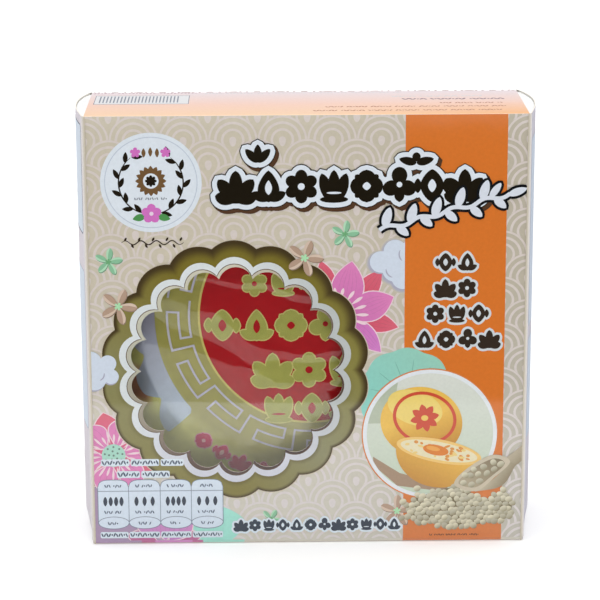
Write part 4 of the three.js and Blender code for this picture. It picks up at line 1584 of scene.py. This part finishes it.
def build_window_film():
    """A sheet with cut corners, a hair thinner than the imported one, with slow waves of a
    tenth of a millimetre."""
    side = (FILM_HIGH[0] - FILM_LOW[0]) / 2
    t = np.linspace(-1, 1, 41)
    x, z = np.meshgrid(t * side, t * side)
    corner = np.maximum((np.abs(x) + np.abs(z) - (2 * side - 9)) / 2, 0)
    x, z = x - np.sign(x) * corner, z - np.sign(z) * corner
    middle = (FILM_LOW[1] + FILM_HIGH[1]) / 2
    wave = 0.03 * np.sin(x / 17) * np.cos(z / 23)
    centre = (FILM_LOW + FILM_HIGH) / 2
    sheet = np.stack([x + centre[0], middle - 0.06 + wave, z + centre[2]], axis=-1)
    points, face, back, rims = shell(sheet, sheet + [0, 0.12, 0])
    material = clear_film("window_film")
    make_piece("window_sheet", [(points, [face, back, rims], 0, None)], [material],
               smooth=True, replaces=["window_film"])


# ---- wrapped pastry -------------------------------------------------------------------------


def film_creases(x, z):
    """How far the stretched film lies in: for each step its slope times the distance below
    its upper edge, up to its width, with softened corners, and a slow uneven swell."""
    middle = (POUCH_LOW + POUCH_HIGH) / 2
    x, z = x + middle[0], z + middle[2]
    deep = np.zeros_like(x)
    for places, heights, widths, slope in FILM_STEPS:
        waver = 0.5 * np.sin(x / 3.1 + slope * 40)
        below = np.interp(x, places, heights) + waver - z
        width = np.interp(x, places, widths)
        deep += slope / 2 * (np.hypot(below, 0.3) - np.hypot(below - width, 0.3) + width)
    swell = 0.10 * np.sin(x / 7.3 + 0.6 * np.sin(z / 6.1)) * np.cos(z / 8.7 + 0.8)
    return deep + swell + 0.035 * np.sin(x / 2.9 + z / 4.3 + 1.7 * np.sin(z / 9.0))


def pouch_reach(angle):
    """Distance to the pouch's outline, a superellipse."""
    half = (POUCH_HIGH - POUCH_LOW) / 2
    power = POUCH_SQUARENESS
    sides = (np.abs(np.cos(angle)) / half[0]) ** power + (np.abs(np.sin(angle)) / half[2]) ** power
    return sides ** (-1 / power)


def pouch_half_thickness(x, z):
    """Half thickness over a point measured from the pouch's middle: the crowned cake inside
    the cake's radius, and outside it the puffed film that falls to the seal and gathers."""
    crown_high = (POUCH_HIGH[1] - POUCH_LOW[1]) / 2
    angle = np.arctan2(z, x)
    share = np.clip(np.hypot(x, z) / pouch_reach(angle), 0, 1)
    r = np.hypot(x - CAKE[0], z - CAKE[1]) / CAKE_RADIUS
    crown = crown_high - CAKE_CROWN * np.minimum(r, 1) ** 4
    out = np.maximum(r - 1, 0) * CAKE_RADIUS
    fall = np.clip(1 - out / (pouch_reach(angle) * (1 - share) + out + 1e-9), 0, 1)
    gather = WRINKLE_DEPTH * np.sin(WRINKLES_AROUND * angle) * 4 * fall * (1 - fall)
    film = SEAL_HALF_THICKNESS + (crown - SEAL_HALF_THICKNESS) * fall ** (1 / FILM_FULLNESS)
    film += gather
    return np.where(r <= 1, crown, film)


def pouch_front(x, z):
    """Depth y of the pouch's front face over points measured from its middle."""
    middle = (POUCH_LOW + POUCH_HIGH) / 2
    half = pouch_half_thickness(x, z)
    fade = np.clip((half - SEAL_HALF_THICKNESS) / 6, 0, 1)
    return middle[1] - half + FILM_ROOM + fade * film_creases(x, z)


def on_pouch(points, level):
    """Points (x, z) laid on the pouch's front, lifted by a number of film ink steps."""
    middle = (POUCH_LOW + POUCH_HIGH) / 2
    y = pouch_front(points[:, 0] - middle[0], points[:, 1] - middle[2]) - 0.06 - level * 0.05
    return np.column_stack([points[:, 0], y, points[:, 1]])


def foil_ink(x, z):
    """Gold over most of the pouch, a little paler towards the bottom. Where the film turns down
    past the cake's lower rim it is much paler: painted light that lifts the shade there. Towards
    the lower left it turns redder: a painted reflection."""
    gold = between((178, 170, 86), (184, 178, 110), np.clip((60 - z) / 40, 0, 1))
    r = np.hypot(x - PRINT_CENTRE[0], z - PRINT_CENTRE[1])
    # Painted light: much paler where the film turns down into shade.
    turned_down_painted_light = np.clip((r - 56) / 9, 0, 1) * np.clip((80 - z) / 14, 0, 1)
    gold = gold + turned_down_painted_light[:, None] * (np.array([244, 242, 156]) - gold)
    # Painted reflection: redder towards the lower left.
    red = np.clip((r - 63.5) / 3.0, 0, 1) * np.clip((68 - z) / 5, 0, 1)
    red *= np.clip((-57 - x) / 3, 0, 1) * np.clip((z - 50) / 4, 0, 1)
    return gold + red[:, None] * (np.array([214, 150, 120]) - gold)


def build_pouch():
    """Both faces of the pouch on one polar grid, joined at the seal."""
    middle = (POUCH_LOW + POUCH_HIGH) / 2
    angle = np.linspace(0, 2 * np.pi, 480, endpoint=False)
    share = np.linspace(0, 1, 131)[1:, None]
    reach = pouch_reach(angle)
    x, z = share * reach * np.cos(angle), share * reach * np.sin(angle)
    front = np.stack([x + middle[0], pouch_front(x, z), z + middle[2]], axis=-1)
    x, z, half = (v[::-1][::6] for v in (x, z, pouch_half_thickness(x, z) - FILM_ROOM))
    back = np.stack([x + middle[0], middle[1] + half, z + middle[2]], axis=-1)
    grid = np.concatenate([front, back])
    rows, columns = grid.shape[:2]
    origin = np.zeros(1)
    pole_back = middle[1] + pouch_half_thickness(origin, origin)[0] - FILM_ROOM
    poles = [[middle[0], y, middle[2]] for y in (pouch_front(origin, origin)[0], pole_back)]
    points = np.vstack([grid.reshape(-1, 3), poles])
    ring, count = np.arange(columns), rows * columns
    near = np.stack([np.full(columns, count), ring, np.roll(ring, -1)], axis=-1)
    far = np.stack([np.full(columns, count + 1), np.roll(ring, -1), ring], axis=-1)
    far[:, 1:] += (rows - 1) * columns
    faces = [quads(rows, columns, True)[:, ::-1], near, far]
    ink = foil_ink(points[:, 0], points[:, 2])
    make_piece("pouch", [(points, faces, 0, ink)], [POUCH], smooth=True,
               replaces=["wrapped_pastry"])


def mitred(path, width):
    """Both edges of a line of this width along a polyline with right-angled corners: each
    point moves by (n1 + n2) / (1 + n1 . n2) times half the width, n1 and n2 being its
    neighbours' normals."""
    run = np.diff(path, axis=0)
    normal = np.column_stack([-run[:, 1], run[:, 0]]) / np.linalg.norm(run, axis=1)[:, None]
    before, after = np.vstack([normal[:1], normal]), np.vstack([normal, normal[-1:]])
    move = (before + after) / (1 + np.sum(before * after, axis=1))[:, None] * width / 2
    return path - move, path + move


def key_fret():
    """The pale meander round the disc: one unit of it in (angle, radius), sixteen times."""
    radius = 48.5
    unit = np.array([(0, 44.6), (18.0, 44.6), (18.0, radius), (6.1, radius), (6.1, 52.7),
                     (22.5, 52.7)])
    corners = np.vstack([unit + [172.2 + 22.5 * k, 0] for k in range(16)])
    t = np.linspace(0, 1, 9, endpoint=False)[:, None]
    path = np.vstack([a + t * (b - a) for a, b in zip(corners, corners[1:])] + [corners[-1:]])
    flat = path * [np.pi / 180 * radius, 1]
    return strip(*(around(edge[:, 1], np.degrees(edge[:, 0] / radius), PRINT_CENTRE)
                   for edge in mitred(flat, 0.8)))


def pouch_printed(name, layers):
    printed(name, on_pouch, layers, POUCH, smooth=True)


def silver_border():
    """The bare film left of the gold, between the gold's edge and a kite-cornered line."""
    inner = smooth_path(np.vstack([
        around(57.3, [158, 170, 179, 188, 193, 196, 200, 204, 208, 211, 214, 216.5, 219],
               PRINT_CENTRE),
        [(-43.3, 48.4), (-43.5, 47.8), (-47.4, 43.9), (-51.4, 39.9)]]), 4)
    outer = smooth_path([(-62, 108), (-64.5, 97), (-66, 87), (-65.5, 77), (-62.3, 72.6),
                         (-60.2, 70.8), (-61.4, 66.5), (-63.3, 62.6), (-63.0, 58.7),
                         (-60.5, 55.1), (-56.8, 54.3), (-54.3, 53.7), (-54.9, 48.8),
                         (-54.9, 45.1), (-53.9, 41.8), (-52.6, 40.2), (-51.8, 39.7)], 4)
    return strip(outer, inner, 22)


def print_pouch():
    """A red disc with rows of ornaments, the fret round it and small ornaments below it."""
    # Darker at the top and paler below: painted shade above and painted light below.
    shade = fading((162, 160, 178), (222, 238, 255), (0, 86), (0, 46))
    pouch_printed("silver_border", [(1, shade, [silver_border()])])
    pouch_printed("key_fret", [(2, (214, 210, 224), [key_fret()])])
    disc, gold_edge = (around(r, np.arange(0, 360, 1.25), PRINT_CENTRE) for r in (40.6, 41.4))
    red = (192, 4, 20)
    pouch_printed("red_disc", [(1, (226, 214, 120), [strip(disc, gold_edge, 2, closed=True)]),
                               (1.6, red, [fan(disc, PRINT_CENTRE, 62)])])
    rows = [(98.9, -24.5, 28.0, 5, 4.6, 1), (83.0, -37.4, 38.0, 6, 5.9, 3),
            (65.9, -19.5, 34.0, 4, 6.4, 0), (50.9, -16.8, 20.0, 3, 5.7, 2)]
    dark, pale = motifs([(motif, x0 + (k + 0.5) / count * (x1 - x0), z, size)
                         for z, x0, x1, count, size, first in rows
                         for k, motif in enumerate(next_motifs(first, count))])
    pouch_printed("gold_ornaments", [
        (2.6, (222, 216, 132), fans([grown(o, 0.35) for o in dark], 6)),
        (3.6, (184, 184, 92), fans([grown(o, -0.1) for o in dark], 6)),
        (4.6, red, fans(pale, 3))])
    dark, pale = [], []
    for k, a in enumerate(np.arange(231.0, 320, 7.4)):
        made = (quatrefoil, lozenges, palmette, blossom)[k % 4]((0, 0), 3.3)
        for outlines, found in zip((dark, pale), made):
            outlines += [turned(o, a + 90, around(63.6, a, PRINT_CENTRE)) for o in found]
    pouch_printed("maroon_ornaments", [
        (1.6, (255, 186, 208), fans([grown(o, 0.34) for o in dark], 2)),
        (2.6, (226, 62, 112), fans(dark, 2)),
        (3.6, (255, 196, 200), fans(pale, 2))])


# ---- studio -----------------------------------------------------------------------------


def place_camera():
    """The photograph's view, from a camera fitted to the carton's visible corners."""
    yaw, pitch, roll = np.radians([0.86, 14.80, -0.24])
    ahead = np.array([np.sin(yaw) * np.cos(pitch), np.cos(yaw) * np.cos(pitch), -np.sin(pitch)])
    level = np.array([np.cos(yaw), -np.sin(yaw), 0])
    up = np.cross(level, ahead)
    right = np.cos(roll) * level + np.sin(roll) * up
    above = np.cos(roll) * up - np.sin(roll) * level
    spot = np.array([-15.7, -889.8, 322.1]) * MM
    data = bpy.data.cameras.new("camera")
    data.sensor_width = 36.0
    data.lens = 147.8
    data.clip_end = 20.0
    camera = bpy.data.objects.new("camera", data)
    world = Matrix.Identity(4)
    for column, axis in enumerate((right, above, -ahead, spot)):
        for row in range(3):
            world[row][column] = axis[row]
    camera.matrix_world = world
    bpy.context.scene.collection.objects.link(camera)
    bpy.context.scene.camera = camera


def stage_sheet(name, corners, material):
    """One four-cornered sheet of the studio, in metres."""
    mesh = bpy.data.meshes.new(name)
    mesh.from_pydata(corners, [], [(0, 1, 2, 3)])
    mesh.materials.append(material)
    sheet = bpy.data.objects.new(name, mesh)
    bpy.context.scene.collection.objects.link(sheet)
    return sheet


def level_sheet(x, y, z):
    return [(x[0], y[0], z), (x[1], y[0], z), (x[1], y[1], z), (x[0], y[1], z)]


def upright_sheet(x, y, z):
    return [(-x, y, 0), (x, y, 0), (x, y, z), (-x, y, z)]


def build_studio():
    """White floor and sky. Cards that only mirrors see stand for the room: the far side of
    the table and the dark room in front, and the white backdrop behind."""
    stage_sheet("floor", level_sheet((-6, 6), (-6, 6), 0.0), studio_floor("pale_floor"))
    for name, corners, glow in (
            ("table_edge", level_sheet((-1.5, 1.5), (-0.86, -0.198), 0.0008), 0.015),
            ("dark_room", upright_sheet(4, -3, 4), 0.03),
            ("backdrop", upright_sheet(2.5, 1.5, 2.0), 0.5)):
        s = Shader(name)
        light = s.add("Emission", {"Color": (glow, glow, glow * 1.02, 1)})
        card = stage_sheet(name, corners, s.finish(light.outputs[0]))
        card.visible_camera = card.visible_diffuse = card.visible_shadow = False
        card.visible_transmission = False
    sky = bpy.data.worlds.new("sky")
    sky.use_nodes = True
    background = sky.node_tree.nodes["Background"].inputs
    background["Color"].default_value = (0.96, 0.98, 1.0, 1)
    background["Strength"].default_value = 0.16
    bpy.context.scene.world = sky
    data = bpy.data.lights.new("overhead", "SUN")
    data.energy = 3.15
    data.angle = math.radians(70)
    lamp = bpy.data.objects.new("overhead", data)
    lamp.rotation_euler = (math.radians(3), 0, 0)
    bpy.context.scene.collection.objects.link(lamp)
    bpy.context.scene.view_settings.view_transform = "Standard"


build_carton()
print_front()
print_lid()
print_sides()
print_back()
print_foot()
build_window_film()
build_pouch()
print_pouch()
build_studio()
place_camera()
